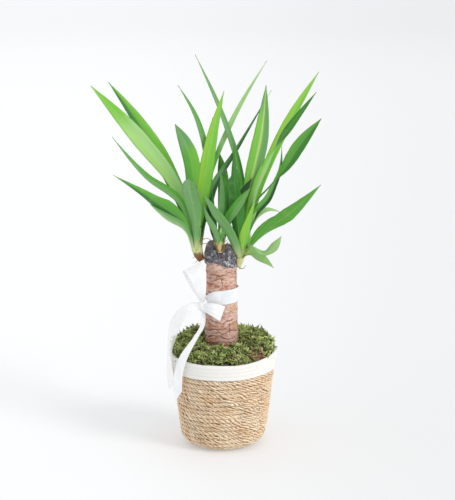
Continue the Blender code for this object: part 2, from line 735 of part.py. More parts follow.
def build_band(name, collection):
    """The ribbon once round the cane, a little higher at the right."""
    mesh = bpy.data.meshes.new(name)
    form = bmesh.new()
    rings = []
    for step in range(SIDES):
        angle = 2 * math.pi * step / SIDES
        middle = BAND_HEIGHT + BAND_TILT * math.cos(angle)
        x = TRUNK_X + BAND_RADIUS * math.cos(angle)
        y = BAND_RADIUS * math.sin(angle)
        rings.append([form.verts.new((x, y, middle + side * BAND_WIDTH / 2)) for side in (-1, 1)])
    for first, second in zip(rings, rings[1:] + rings[:1]):
        form.faces.new((first[0], second[0], second[1], first[1]))
    form.to_mesh(mesh)
    form.free()
    item = add_object(name, mesh, collection)
    solidify = item.modifiers.new("Solidify", "SOLIDIFY")
    solidify.thickness = RIBBON_THICKNESS
    solidify.offset = 1
    apply_modifiers(item)
    face_outwards(item.data)
    return item


def build_ribbon(collection, cutters, material):
    item = build_band("ribbon", collection)
    bow = bpy.data.collections.new("bow")
    bpy.context.scene.collection.children.link(bow)
    bpy.ops.mesh.primitive_uv_sphere_add(segments=14, ring_count=8)
    knot = take_cutter("knot", bow)
    for vertex in knot.data.vertices:
        swollen = [part * radius for part, radius in zip(vertex.co, KNOT_RADII)]
        vertex.co = (Vector(KNOT_CENTRE) + Vector(swollen)) * MM
    for name, edges in RIBBON_STRIPS.items():
        build_strip(name, edges, bow)
    add_boolean(item, "UNION", collection=bow)
    apply_modifiers(item)
    for strip in list(bow.objects):
        bpy.data.objects.remove(strip, do_unlink=True)
    bpy.data.collections.remove(bow)
    bpy.ops.mesh.primitive_cylinder_add(vertices=SIDES, radius=BAND_RADIUS, depth=200 * MM,
                                        location=(TRUNK_X, 0, BAND_HEIGHT))
    add_boolean(item, "DIFFERENCE", take_cutter("band_bore", cutters))
    apply_modifiers(item)
    drop_cutters(cutters)
    keep_main_body(item)
    return finish(item, material)


def main():
    clear_scene()
    parts = bpy.data.collections.new("potted_yucca")
    cutters = bpy.data.collections.new("cutters")
    for collection in (parts, cutters):
        bpy.context.scene.collection.children.link(collection)
    build_basket(parts, make_material("seagrass", (0.55, 0.38, 0.21), 0.8))
    build_rim(parts, make_material("cream_fibre", (0.86, 0.83, 0.75), 0.85))
    build_pot(parts, cutters, make_material("pot_plastic", (0.10, 0.07, 0.05), 0.5))
    build_soil(parts, cutters, make_material("potting_soil", (0.06, 0.04, 0.03), 0.95))
    build_moss(parts, cutters, make_material("moss", (0.16, 0.24, 0.05), 0.9))
    build_trunk(parts, make_material("bark", (0.42, 0.26, 0.19), 0.8))
    build_wax(parts, cutters, make_material("wax", (0.13, 0.12, 0.14), 0.35))
    leaf = make_material("leaf", (0.14, 0.36, 0.06), 0.4)
    for shoot in STEMS:
        build_shoot(shoot, parts, cutters, leaf)
    build_ribbon(parts, cutters, make_material("satin", (0.90, 0.90, 0.92), 0.35))
    bpy.data.collections.remove(cutters)


main()
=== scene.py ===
import bpy
import bmesh
import math
import random
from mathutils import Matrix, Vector, noise


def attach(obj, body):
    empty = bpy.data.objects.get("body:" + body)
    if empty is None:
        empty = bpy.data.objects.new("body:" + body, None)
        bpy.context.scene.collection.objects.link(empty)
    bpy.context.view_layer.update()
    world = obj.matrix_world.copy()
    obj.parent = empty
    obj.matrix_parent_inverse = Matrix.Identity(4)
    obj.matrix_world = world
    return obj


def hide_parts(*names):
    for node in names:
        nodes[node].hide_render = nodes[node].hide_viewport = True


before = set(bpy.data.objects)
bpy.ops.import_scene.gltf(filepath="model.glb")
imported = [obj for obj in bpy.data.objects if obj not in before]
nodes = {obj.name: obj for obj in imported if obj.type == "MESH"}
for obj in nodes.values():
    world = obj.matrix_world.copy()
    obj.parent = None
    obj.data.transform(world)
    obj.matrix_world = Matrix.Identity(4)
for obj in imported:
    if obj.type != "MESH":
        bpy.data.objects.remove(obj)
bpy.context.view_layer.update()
scene = bpy.context.scene
scene.view_settings.view_transform = "Standard"
mm = 0.001
matt = 0.25                           # how strongly dry fibres mirror the light

cameraValues = {
    "place": (0.0083, -2.4, 0.829),
    "aim": (0.0083, 0, 0.355),
    "focalPixels": 1374,          # on an image 455 wide and 500 high
    "imageHeight": 500,
    "sensorHeight": 24,
}


def addCamera(values):
    data = bpy.data.cameras.new("camera")
    camera = bpy.data.objects.new("camera", data)
    scene.collection.objects.link(camera)
    look = Vector(values["aim"]) - Vector(values["place"])
    camera.location = values["place"]
    camera.rotation_euler = look.to_track_quat("-Z", "Y").to_euler()
    data.sensor_fit = "VERTICAL"
    data.sensor_height = values["sensorHeight"]
    data.lens = values["sensorHeight"] * values["focalPixels"] / values["imageHeight"]
    scene.camera = camera


addCamera(cameraValues)
print("camera placed")


class Wire:
    # a node's output that can be used in sums
    def __init__(self, graph, socket):
        self.graph = graph
        self.socket = socket

    def math(self, operation, *values):
        return self.graph.add("ShaderNodeMath", {"operation": operation}, dict(enumerate(values)))

    def __add__(self, other):
        return self.math("ADD", self, other)

    def __sub__(self, other):
        return self.math("SUBTRACT", self, other)

    def __rsub__(self, other):
        return self.math("SUBTRACT", other, self)

    def __mul__(self, other):
        return self.math("MULTIPLY", self, other)

    def __truediv__(self, other):
        return self.math("DIVIDE", self, other)

    def __pow__(self, other):
        return self.math("POWER", self, other)

    __radd__ = __add__
    __rmul__ = __mul__

    def step(self, low, high):        # 0 below low, 1 above high, smooth between
        sockets = {"Value": self, "From Min": low, "From Max": high}
        return self.graph.add("ShaderNodeMapRange", {"interpolation_type": "SMOOTHSTEP"}, sockets)


class Graph:
    # the nodes of one material or one node group
    def __init__(self, tree):
        self.tree = tree

    def add(self, kind, settings=None, sockets=None, out=0):
        node = self.tree.nodes.new(kind)
        for key, value in (settings or {}).items():
            if key == "stops":
                self.setStops(node.color_ramp.elements, value)
            else:
                setattr(node, key, value)
        for key, value in (sockets or {}).items():
            self.plug(node.inputs[key], value)
        return Wire(self, node.outputs[out])

    def plug(self, socket, value):
        if isinstance(value, Wire):
            self.tree.links.new(value.socket, socket)
        elif socket.type == "RGBA":
            socket.default_value = (*value[:3], 1)
        else:
            socket.default_value = value

    def setStops(self, elements, stops):
        while len(elements) < len(stops):
            elements.new(1)
        for element, (position, color) in zip(elements, stops):
            element.position = position
            element.color = (*color[:3], 1)

    def blend(self, share, first, second, mode="MIX"):
        settings = {"data_type": "RGBA", "blend_type": mode}
        return self.add("ShaderNodeMix", settings, {0: share, 6: first, 7: second}, 2)

    def layers(self, tones, first, *coats):
        # coats of (share, tone) over a first one; a tone is a colour or its name in tones
        color = tones[first] if isinstance(first, str) else first
        for share, tone in coats:
            color = self.blend(share, color, tones[tone] if isinstance(tone, str) else tone)
        return color

    def noise(self, place, scale, detail=3, roughness=0.55):
        sockets = {"Vector": place, "Scale": scale, "Detail": detail, "Roughness": roughness}
        return self.add("ShaderNodeTexNoise", {}, sockets)

    def place(self, scale=(1, 1, 1)):
        point = self.add("ShaderNodeTexCoord", {}, {}, "Object")
        return self.add("ShaderNodeMapping", {}, {"Vector": point, "Scale": scale})

    def attribute(self, name, out="Fac"):
        return self.add("ShaderNodeAttribute", {"attribute_name": name}, {}, out)

    def attributes(self, *names):
        return [self.attribute(name) for name in names]

    def vector(self, x, y, z):
        return self.add("ShaderNodeCombineXYZ", {}, {0: x, 1: y, 2: z})


def tint(red, green, blue):           # a colour as a screen shows it, 0 to 255
    return Vector([((part / 255 + 0.055) / 1.055) ** 2.4 for part in (red, green, blue)])


def makeMaterial(name, paint, gloss=0.5, constants=None):
    # paint takes the graph and gives the wires for the shader's sockets;
    # its "bump" is a height, a strength and a distance
    material = bpy.data.materials.new(name)
    material.use_nodes = True
    shader = material.node_tree.nodes["Principled BSDF"]
    shader.inputs["Specular IOR Level"].default_value = gloss
    graph = Graph(material.node_tree)
    for key, value in (constants or {}).items():
        shader.inputs[key].default_value = value
    for key, value in paint(graph).items():
        if key == "bump":
            sockets = dict(zip(("Height", "Strength", "Distance"), value))
            value = graph.add("ShaderNodeBump", {}, sockets)
            key = "Normal"
        graph.plug(shader.inputs[key], value)
    return material


def newMesh(name, points, faces):
    mesh = bpy.data.meshes.new(name)
    mesh.from_pydata([tuple(point) for point in points], [], faces)
    mesh.update()
    return mesh


def setAttribute(mesh, name, values):
    data = mesh.attributes.new(name, "FLOAT", "POINT").data
    data.foreach_set("value", values)


def setColors(mesh, name, colors):
    data = mesh.attributes.new(name, "FLOAT_COLOR", "POINT").data
    data.foreach_set("color", [part for color in colors for part in (*color, 1)])


def addObject(name, mesh):
    item = bpy.data.objects.new(name, mesh)
    scene.collection.objects.link(item)
    return item


def addPiece(name, mesh, material, slot, *replaced):
    item = addObject(name, mesh)
    mesh.materials.clear()
    mesh.materials.append(material)
    mesh.shade_smooth()
    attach(item, "root")
    if replaced:
        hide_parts(*replaced)
    return item


def evaluated(item):
    bpy.context.view_layer.update()
    state = bpy.context.evaluated_depsgraph_get()
    return bpy.data.meshes.new_from_object(item.evaluated_get(state))


def newGroup(name, inputs):
    group = bpy.data.node_groups.new(name, "GeometryNodeTree")
    group.interface.new_socket("Geometry", in_out="INPUT", socket_type="NodeSocketGeometry")
    for label, kind in inputs.items():
        group.interface.new_socket(label, in_out="INPUT", socket_type="NodeSocket" + kind)
    group.interface.new_socket("Geometry", in_out="OUTPUT", socket_type="NodeSocketGeometry")
    graph = Graph(group)
    entry = group.nodes.new("NodeGroupInput")
    wires = {socket.name: Wire(graph, socket) for socket in entry.outputs if socket.name}
    return group, graph, wires


def endGroup(graph, shape, material):
    shape = graph.add("GeometryNodeRealizeInstances", {}, {0: shape})
    shape = graph.add("GeometryNodeSetShadeSmooth", {}, {0: shape, "Shade Smooth": True})
    shape = graph.add("GeometryNodeSetMaterial", {}, {0: shape, "Material": material})
    graph.tree.links.new(shape.socket, graph.tree.nodes.new("NodeGroupOutput").inputs[0])


def store(graph, shape, name, value, domain="POINT"):
    settings = {"data_type": "FLOAT", "domain": domain}
    return graph.add("GeometryNodeStoreNamedAttribute", settings, {0: shape, "Name": name, "Value": value})


def named(graph, name):
    return graph.add("GeometryNodeInputNamedAttribute", {"data_type": "FLOAT"}, {"Name": name})


def runGroup(host, group, values):
    modifier = host.modifiers.new(group.name, "NODES")
    modifier.node_group = group
    for item in group.interface.items_tree:
        if item.in_out == "INPUT" and item.name in values:
            modifier[item.identifier] = values[item.name]
    mesh = evaluated(host)
    host.modifiers.remove(modifier)
    bpy.data.objects.remove(host, do_unlink=True)
    return mesh


def surfaceArea(mesh):
    return sum(polygon.area for polygon in mesh.polygons)


def smooth(low, high, value):
    share = min(1.0, max(0.0, (value - low) / (high - low)))
    return share * share * (3 - 2 * share)


def smoothPath(points, count):
    # count + 1 points on a smooth curve through the given points
    points = [Vector(point) for point in points]
    along = [0.0]
    for first, second in zip(points, points[1:]):
        along.append(along[-1] + (second - first).length)
    speeds = []
    for index in range(1, len(points) - 1):
        before = along[index] - along[index - 1]
        after = along[index + 1] - along[index]
        speed = (points[index] - points[index - 1]) / before * after
        speed += (points[index + 1] - points[index]) / after * before
        speeds.append(speed / (before + after))
    start = (points[1] - points[0]) / along[1]
    end = (points[-1] - points[-2]) / (along[-1] - along[-2])
    speeds = [1.5 * start - 0.5 * speeds[0]] + speeds + [1.5 * end - 0.5 * speeds[-1]]
    path = []
    for step in range(count + 1):
        distance = along[-1] * step / count
        index = 0
        while index < len(points) - 2 and distance > along[index + 1]:
            index += 1
        span = along[index + 1] - along[index]
        t = (distance - along[index]) / span
        point = (2 * t ** 3 - 3 * t ** 2 + 1) * points[index]
        point += (t ** 3 - 2 * t ** 2 + t) * span * speeds[index]
        point += (3 * t ** 2 - 2 * t ** 3) * points[index + 1]
        point += (t ** 3 - t ** 2) * span * speeds[index + 1]
        path.append(point)
    return path


def faceOutwards(mesh):
    form = bmesh.new()
    form.from_mesh(mesh)
    bmesh.ops.recalc_face_normals(form, faces=form.faces)
    form.to_mesh(mesh)
    form.free()
    return mesh


def ringFaces(rows, around, closed=True, looped=False):
    # quads between rows of points; a closed row joins its last point to its first,
    # and looped rows join the last row to the first
    faces = []
    for row in range(rows if looped else rows - 1):
        low, high = row * around, (row + 1) % rows * around
        for step in range(around if closed else around - 1):
            following = (step + 1) % around
            faces.append((low + step, low + following, high + following, high + step))
    return faces


def turns(around):
    # the angles at which the points of a ring stand
    return [2 * math.pi * step / around for step in range(around)]


def ringPoint(angle, radius, height, x=0):
    return Vector((x + radius * math.cos(angle), radius * math.sin(angle), height))


def apart(angle, other):          # the signed angle between two headings
    return (angle - other + math.pi) % (2 * math.pi) - math.pi


def wave(x, y, z=0):              # a smooth wander between -1 and 1
    return noise.noise(Vector((x, y, z)))


def pathLength(points):
    return sum((second - first).length for first, second in zip(points, points[1:]))


def alongAt(path, step):
    # the direction of a path at one of its points
    return (path[min(step + 1, len(path) - 1)] - path[max(step - 1, 0)]).normalized()


# Basket: one twisted rope, coiled from the middle of the floor up to the rim
basketValues = {
    "floorRadius": 46,
    "corner": 27,
    "cornerSteps": 12,
    "lowRadius": 77.5,
    "topRadius": 91,
    "top": 139,
    "pitch": 8.0,
    "inset": 4.1,                 # from the outer face to the rope's middle
    "floorThickness": 6.2,
    "wallFrom": (4, 20),          # heights between which the flattened rope turns round
    "ropeRadius": 4.5,
    "swell": 0.06,                # how unevenly thick the rope is
    "start": 4.0,                 # how far from the middle of the floor it begins
    "taper": 0.8,                 # how much of its thickness its last turn loses
    "sample": 2.1,                # length of one step along it
    "strand": 9.0,                # length along the rope that one strand shows
    "strands": 4,
    "depth": 1.5,
    "sides": 16,
    "wobble": 0.55,
    "bulge": 1.8,                 # how much further the right side stands out
    "bulgeFrom": (8, 40),         # heights between which it sets in
    "raised": 3.5,                # how much higher the right side of the upper edge stands
    "raisedFrom": 60,
    "dip": 3.2,                   # how much lower the front of the rim's edge lies
    "straw": tint(246, 218, 180),
    "blond": tint(255, 248, 230),
    "brown": tint(228, 182, 132),
    # dark brown for the painted shade between the rope's strands, also used for random dark flecks
    "gap": tint(104, 66, 38),
}
twistValues = {
    "place": 0.46,                # how far a strand's middle lies from the rope's, as a share of its radius
    "thick": 0.54,                # and how thick the strand is
    "span": 120,                  # degrees of its round that show
    "grain": 45,                  # scale of the unevenness
    "turnWander": 2.6,
    "depthWander": 0.3,
}
rimValues = {
    "low": 139.3,
    "high": 170.3,
    "lowRadius": 92.8,
    "topRadius": 96,
    "wall": 7,
    "rings": 4,
    "groove": 0.75,               # depth of the lines between its coils
    "nap": 0.35,
    "napSize": (2.4, 1.8),
    "wobble": 0.6,
    "around": 420,
    "rows": 44,
    "lipSteps": 8,
    "cream": tint(241, 240, 236),
    # a warmer cream for random tone, also the painted shade in the lines between the coils
    "warm": tint(226, 214, 192),
}
fibreValues = {
    "length": 9,
    "thick": 0.24,
    "lean": (45, 75),
    "bend": (-40, 60),
    "size": (0.5, 1.1),
    "around": 96,
    "rimCount": 190,
    "wallCount": 260,
    "pale": tint(222, 198, 166),
    "straw": tint(206, 166, 116),
}


def ropeGroup(name, material):
    values = twistValues
    inputs = {"Strand Length": "Float", "Strand Depth": "Float", "Strands": "Float", "Sides": "Int",
              "Unevenness": "Float"}
    group, graph, wires = newGroup(name, inputs)
    curve = graph.add("GeometryNodeMeshToCurve", {}, {0: wires["Geometry"]})
    curve = graph.add("GeometryNodeSetCurveNormal", {"mode": "Z_UP"}, {0: curve})
    length = graph.add("GeometryNodeSplineParameter", {}, {}, "Length")
    factor = graph.add("GeometryNodeSplineParameter", {}, {}, "Factor")
    curve = store(graph, curve, "run", length)
    circle = graph.add("GeometryNodeCurvePrimitiveCircle", {}, {"Resolution": wires["Sides"], "Radius": 1.0})
    circle = graph.add("GeometryNodeTransform", {}, {0: circle, "Rotation": (0, 0, math.pi)})
    circle = store(graph, circle, "around", factor)
    radius = named(graph, "coilRadius")
    sockets = {"Curve": curve, "Profile Curve": circle, "Scale": radius, "Fill Caps": True}
    shape = graph.add("GeometryNodeCurveToMesh", {}, sockets)
    position = graph.add("GeometryNodeInputPosition")
    uneven = (graph.noise(position, values["grain"], 2) - 0.5) * wires["Unevenness"]
    phase = named(graph, "around") * wires["Strands"] - named(graph, "run") / wires["Strand Length"]
    shape = store(graph, shape, "phase", phase + uneven * values["turnWander"])
    turn = (phase.math("FRACT", named(graph, "phase")) - 0.5) * math.radians(values["span"])
    lean = turn.math("SINE", turn) * values["place"]
    bow = (values["thick"] ** 2 - lean * lean) ** 0.5
    reach = turn.math("COSINE", turn) * values["place"] + bow
    lift = (reach - 1) * wires["Strand Depth"] + uneven * values["depthWander"]
    shape = store(graph, shape, "lift", lift)
    normal = graph.add("GeometryNodeInputNormal")
    offset = graph.add("ShaderNodeVectorMath", {"operation": "SCALE"}, {0: normal, "Scale": lift * radius})
    shape = graph.add("GeometryNodeSetPosition", {}, {0: shape, "Offset": offset})
    endGroup(graph, shape, material)
    return group


def raisedBy(angle, height):
    # how much higher a point of the wall or the rim lies than on plain level rings
    values = basketValues
    top = values["top"]
    right = values["raised"] * smooth(0.2, 1.0, math.cos(angle)) * smooth(values["raisedFrom"], top, height)
    front = values["dip"] * smooth(0.2, 0.95, -math.sin(angle)) * smooth(top, rimValues["high"], height)
    return right - front


def bulgeBy(angle, height):
    values = basketValues
    return values["bulge"] * max(0.0, math.cos(angle)) ** 2 * smooth(*values["bulgeFrom"], height)


def profileAt(profile, distance):
    # the point of a (radius, height) profile at a distance along it
    for first, second in zip(profile, profile[1:]):
        span = (second - first).length
        if distance <= span:
            return first.lerp(second, distance / span)
        distance -= span
    return profile[-1]


def basketProfile(values):
    # the rope's middle, as (radius, height), from the middle of the floor to the top of the wall
    middle = values["floorThickness"] / 2
    floor, high, steps = values["floorRadius"], values["corner"], values["cornerSteps"]
    wide = values["lowRadius"] - floor
    profile = [Vector((0, middle)), Vector((floor, middle))]
    for step in range(1, steps + 1):
        angle = math.radians(90 * step / steps)
        outer = Vector((floor + wide * math.sin(angle), high * (1 - math.cos(angle))))
        outward = Vector((high * math.sin(angle), -wide * math.cos(angle))).normalized()
        profile.append(outer - outward * (middle + (values["inset"] - middle) * step / steps))
    profile.append(Vector((values["topRadius"] - values["inset"], values["top"] - values["pitch"] / 2)))
    return profile


def basketPath(values):
    # one long spiral; its last turn thins out along the top edge, where the rope's end is tucked in
    profile = basketProfile(values)
    length = pathLength(profile)
    flat = values["floorThickness"] / 2
    points, radii = [], []
    distance, angle, finish = values["start"], 0.0, 0.0
    while finish < 1:
        spot = profileAt(profile, min(distance, length - 0.001))
        wall = smooth(*values["wallFrom"], spot.y)
        radius = flat + (values["ropeRadius"] - flat) * wall
        thin = radius * (1 - values["taper"] * finish)
        wander = values["wobble"] * wave(angle * 3, distance / 9) * wall
        reach = spot.x + wander * 0.6 + bulgeBy(angle, spot.y)
        height = spot.y + radius - thin + wander * (1 - finish) + raisedBy(angle, spot.y)
        points.append(ringPoint(angle, reach, height) * mm)
        radii.append(thin * (1 + values["swell"] * wall * wave(angle * 5, distance / 5, 9)) * mm)
        turn = values["sample"] / max(spot.x, values["sample"])
        angle += turn
        if distance < length:
            distance += values["pitch"] * turn / (2 * math.pi)
        else:
            finish += turn / (2 * math.pi)
    edges = [(index, index + 1) for index in range(len(points) - 1)]
    return points, edges, radii


def rimMesh(values):
    # coils wrapped so closely that only shallow lines show between them
    rows, steps = values["rows"], values["lipSteps"]
    bend = values["wall"] / 2
    tall = values["high"] - values["low"]
    wide = values["topRadius"] - values["lowRadius"]
    profile = []
    for row in range(rows):
        share = row / (rows - 1)
        profile.append((values["lowRadius"] + wide * share, values["low"] + (tall - bend) * share))
    for step in range(1, steps + 1):
        angle = math.pi * step / steps
        profile.append((values["topRadius"] - bend + bend * math.cos(angle),
                        values["high"] - bend + bend * math.sin(angle)))
    profile.append((values["lowRadius"] - values["wall"], values["low"]))
    fine, finer = values["napSize"]
    points, notes = [], {"run": [], "phase": [], "lift": []}
    for row, (radius, height) in enumerate(profile):
        coil = (height - values["low"]) / tall * values["rings"]
        line = (1 - abs(math.sin(math.pi * coil))) ** 4 * (row < rows)
        for angle in turns(values["around"]):
            turn = Vector((math.cos(angle), math.sin(angle)))
            nap = values["nap"] * wave(*turn * radius / fine, height / finer)
            rise = values["wobble"] * wave(*turn * 7, coil * 0.4) + raisedBy(angle, height)
            reach = radius - values["groove"] * line + nap + bulgeBy(angle, height)
            points.append(Vector((*turn * reach, height + rise + nap)) * mm)
            for key, mark in zip(notes, (angle * radius * mm, coil, -line)):
                notes[key].append(mark)
    mesh = newMesh("rimForm", points, ringFaces(len(profile), values["around"], looped=True))
    faceOutwards(mesh)
    for key, marks in notes.items():
        setAttribute(mesh, key, marks)
    return mesh


def paintRope(graph):
    phase, run, lift = graph.attributes("phase", "run", "lift")
    strand = phase.math("FLOOR", phase)
    own = graph.add("ShaderNodeTexWhiteNoise", {"noise_dimensions": "1D"}, {"W": strand})
    fibre = graph.noise(graph.vector(phase * 6, run * 110, strand), 1.0, 4, 0.65)
    drift = graph.noise(graph.place(), 30, 2)
    fleck = graph.noise(graph.place((1, 1, 1.6)), 330, 3, 0.6)
    color = graph.layers(
        basketValues, "brown",
        (own.step(-0.3, 0.6), "straw"),
        (drift.step(0.42, 0.68) * 0.3, "blond"),
        (fibre.step(0.5, 0.7) * 0.85, "blond"),
        (fibre.step(0.5, 0.3) * 0.55, "brown"),
        (fleck.step(0.56, 0.66) * 0.6, "blond"),
        # painted shade: darker where the surface sinks between strands
        (1 - lift.step(-0.52, -0.16), "gap"),
        (fleck.step(0.42, 0.33) * 0.75, "gap"),
    )
    return {"Base Color": color, "Roughness": 0.62 + fibre * 0.25, "bump": (fibre, 0.6, 0.0008)}


def paintRim(graph):
    phase, run, lift = graph.attributes("phase", "run", "lift")
    fibre = graph.noise(graph.vector(phase * 5, run * 120, 0.0), 1.0, 4, 0.65)
    drift = graph.noise(graph.place(), 18, 2)
    color = graph.layers(
        rimValues, "cream",
        (drift.step(0.5, 0.78) * 0.45, "warm"),
        (fibre.step(0.55, 0.8) * 0.35, "warm"),
        # painted shade in the shallow lines between the coils
        (lift * -0.35, "warm"),
    )
    return {"Base Color": color, "Roughness": 0.8 + fibre * 0.15, "bump": (fibre, 0.5, 0.0007)}


def addCoil(name, values, path, paint, unevenness, *words):
    material = makeMaterial(name, paint, matt)
    group = ropeGroup(name + "Coil", material)
    points, edges, radii = path
    mesh = bpy.data.meshes.new(name + "Path")
    mesh.from_pydata([tuple(point) for point in points], edges, [])
    setAttribute(mesh, "coilRadius", radii)
    settings = {
        "Strand Length": values["strand"] * mm,
        "Strand Depth": values["depth"],
        "Strands": float(values["strands"]),
        "Sides": values["sides"],
        "Unevenness": unevenness,
    }
    return addPiece(name, runGroup(addObject(name + "Path", mesh), group, settings), material, *words)


def addBasket():
    addCoil("ropeCoils", basketValues, basketPath(basketValues), paintRope, 1.0, "seagrass", "basket")
    cream = makeMaterial("rimCoils", paintRim, matt)
    addPiece("rimCoils", rimMesh(rimValues), cream, "cream_fibre", "basket_rim")


addBasket()
print("basket coiled")


# Moss: a dark lumpy mound with curled sprigs of three colours growing out of it
mossValues = {
    "edgeRadius": 87,
    "frontEdge": 171,
    "backEdge": 192,
    "frontCrown": 187,
    "backCrown": 202,
    "base": 150.3,
    "innerShare": 0.4,            # how far in its underside reaches
    "edgeInset": 3.5,
    "edgeDrop": 7,
    "holeX": -2.5,
    "holeRadius": 30.5,
    "holeFrom": (0.62, 0.4),      # shares of the way out between which its rings shift to the hole
    "lump": 5,
    "lumpSize": 16,
    "clump": 3.2,
    "clumpSize": 8,
    "around": 120,
    "shares": (0.99, 0.96, 0.92, 0.87, 0.82, 0.77, 0.72, 0.67, 0.62, 0.57, 0.52, 0.47, 0.42),
    "patch": (62, -56),           # middle of the dry brown patch
    "patchFade": (10.5, 21),      # how far from it the green sets in
    "patchStretch": 1.3,
    "strandThick": 1.35,
    "strandLength": 9.5,
    "strandLean": (5, 50),
    "strandBend": (20, 130),
    "footRadius": 36,             # round the cane's foot the moss lies lower by the dent
    "footDent": 4.5,
    "layers": {
        "mossBright": {"seed": 3, "density": 30000, "size": (1.1, 1.8), "strands": 5},
        "mossOlive": {"seed": 8, "density": 28000, "size": (1.0, 1.6), "strands": 5},
        "mossDry": {"seed": 14, "density": 24000, "size": (0.9, 1.4), "strands": 4},
    },
    "colors": {
        "mossBright": (tint(20, 28, 8), tint(142, 166, 70), tint(240, 248, 178)),
        "mossOlive": (tint(14, 18, 6), tint(110, 126, 58), tint(212, 218, 146)),
        "mossDry": (tint(70, 50, 32), tint(172, 134, 94), tint(226, 202, 160)),
    },
    "under": tint(22, 20, 12),
}


def mossHeight(x, y):
    values = mossValues
    away = math.hypot(x, y)
    share = min(1.0, away / values["edgeRadius"])
    back = 0.5 + 0.5 * y / max(1.0, away)
    edge = values["frontEdge"] + (values["backEdge"] - values["frontEdge"]) * back
    crown = values["frontCrown"] + (values["backCrown"] - values["frontCrown"]) * back
    foot = math.hypot(x - values["holeX"], y) / values["footRadius"]
    dent = values["footDent"] * smooth(1.5, 1.0, foot) * smooth(0, -20, y)
    height = edge + (crown - edge) * (1 - share ** 3)
    height += values["lump"] * noise.noise(Vector((x, y, 0)) / values["lumpSize"])
    return height + values["clump"] * clumpAt(x, y) - dent


def clumpAt(x, y):                # above 0 on a clump, below 0 between clumps
    return noise.noise(Vector((x, y, 40)) / mossValues["clumpSize"])


def mossMesh():
    values = mossValues
    edge, base = values["edgeRadius"], values["base"]
    angles = turns(values["around"])
    under = ((values["innerShare"] * edge, base), (edge - values["edgeInset"], base),
             (edge, values["frontEdge"] - values["edgeDrop"]))
    points = [ringPoint(angle, *ring) for ring in under for angle in angles]
    for share in values["shares"] + (0.0, None):
        for angle in angles:
            turn = Vector((math.cos(angle), math.sin(angle)))
            hole = Vector((values["holeX"], 0)) + turn * values["holeRadius"]
            if share is None:
                points.append(Vector((*hole, base)))
            else:
                spot = (turn * edge * share).lerp(hole, smooth(*values["holeFrom"], share))
                points.append(Vector((*spot, mossHeight(*spot))))
    faces = ringFaces(len(points) // len(angles), len(angles), looped=True)
    return faceOutwards(newMesh("mossMound", [point * mm for point in points], faces))


def tuftMesh(name, strands, seed, length, thick, lean, bend):
    # curled three-sided strands from one root; "tip" runs from 0 at the root to 1 at the end
    draw = random.Random(seed)
    rings, sides, rooted = 5, 3, 1.5
    points, faces, tips = [], [], []
    for strand in range(strands):
        heading = 2 * math.pi * (strand + draw.uniform(-0.35, 0.35)) / strands
        tilt = math.radians(draw.uniform(*lean))
        curl = math.radians(draw.uniform(*bend)) / rings
        swirl = math.radians(draw.uniform(-80, 80)) / rings
        step = length * draw.uniform(0.7, 1.15) / rings
        spot = Vector((0, 0, -rooted))
        first = len(points)
        for ring in range(rings):
            forward = ringPoint(heading, math.sin(tilt), math.cos(tilt))
            side = Vector((-math.sin(heading), math.cos(heading), 0))
            depth = forward.cross(side)
            width = thick * (1 - 0.65 * ring / rings) * (0.8 + 0.45 * (ring % 2))
            for angle in turns(sides):
                points.append(spot + (side * math.cos(angle) + depth * math.sin(angle)) * width)
                tips.append(ring / rings)
            spot += forward * step
            tilt += curl
            heading += swirl
        points.append(spot)
        tips.append(1.0)
        faces += [tuple(first + index for index in face) for face in ringFaces(rings, sides)]
        last = first + sides * (rings - 1)
        faces += [(last + side, last + (side + 1) % sides, last + sides) for side in range(sides)]
        faces.append((first + 2, first + 1, first))
    mesh = newMesh(name, [point * mm for point in points], faces)
    setAttribute(mesh, "tip", tips)
    return mesh


def tuftGroup(name, material):
    inputs = {"Tuft": "Object", "Density": "Float", "Seed": "Int", "Smallest": "Float", "Largest": "Float"}
    lean, spin, shadeSeed = 0.4, 3.1, 5
    group, graph, wires = newGroup(name, inputs)
    seed = wires["Seed"]
    sockets = {"Mesh": wires["Geometry"], "Density": named(graph, "growth") * wires["Density"], "Seed": seed}
    points = graph.add("GeometryNodeDistributePointsOnFaces", {}, sockets)
    upright = Wire(graph, points.socket.node.outputs["Rotation"])
    settings = {"data_type": "FLOAT_VECTOR"}
    sockets = {0: (-lean, -lean, -spin), 1: (lean, lean, spin), "Seed": seed}
    turn = graph.add("FunctionNodeRandomValue", settings, sockets)
    settings = {"rotation_space": "LOCAL"}
    turned = graph.add("FunctionNodeRotateRotation", settings, {"Rotation": upright, "Rotate By": turn})
    settings = {"data_type": "FLOAT"}
    sockets = {2: wires["Smallest"], 3: wires["Largest"], "Seed": seed}
    size = graph.add("FunctionNodeRandomValue", settings, sockets, 1)
    info = graph.add("GeometryNodeObjectInfo", {}, {"Object": wires["Tuft"], "As Instance": True}, "Geometry")
    sockets = {"Points": points, "Instance": info, "Rotation": turned, "Scale": size * named(graph, "vigour")}
    shape = graph.add("GeometryNodeInstanceOnPoints", {}, sockets)
    shade = graph.add("FunctionNodeRandomValue", settings, {2: 0.0, 3: 1.0, "Seed": shadeSeed}, 1)
    shape = store(graph, shape, "shade", shade, "INSTANCE")
    endGroup(graph, shape, material)
    return group


def addTufts(name, slot, material, tuft, host, values):
    # tufts strewn over a host mesh that has "growth" and "vigour" at its points
    source = addObject(name + "Tuft", tuft)
    settings = {
        "Tuft": source,
        "Density": float(values["density"]),
        "Seed": values["seed"],
        "Smallest": values["size"][0],
        "Largest": values["size"][1],
    }
    mesh = runGroup(addObject(name + "Host", host), tuftGroup(name + "Growth", material), settings)
    piece = addPiece(name, mesh, material, slot)
    bpy.data.objects.remove(source, do_unlink=True)
    print(name, len(piece.data.polygons), "faces")


def dryness(x, y):
    values = mossValues
    away = math.hypot(x - values["patch"][0], (y - values["patch"][1]) * values["patchStretch"])
    return 1 - smooth(*values["patchFade"], away)


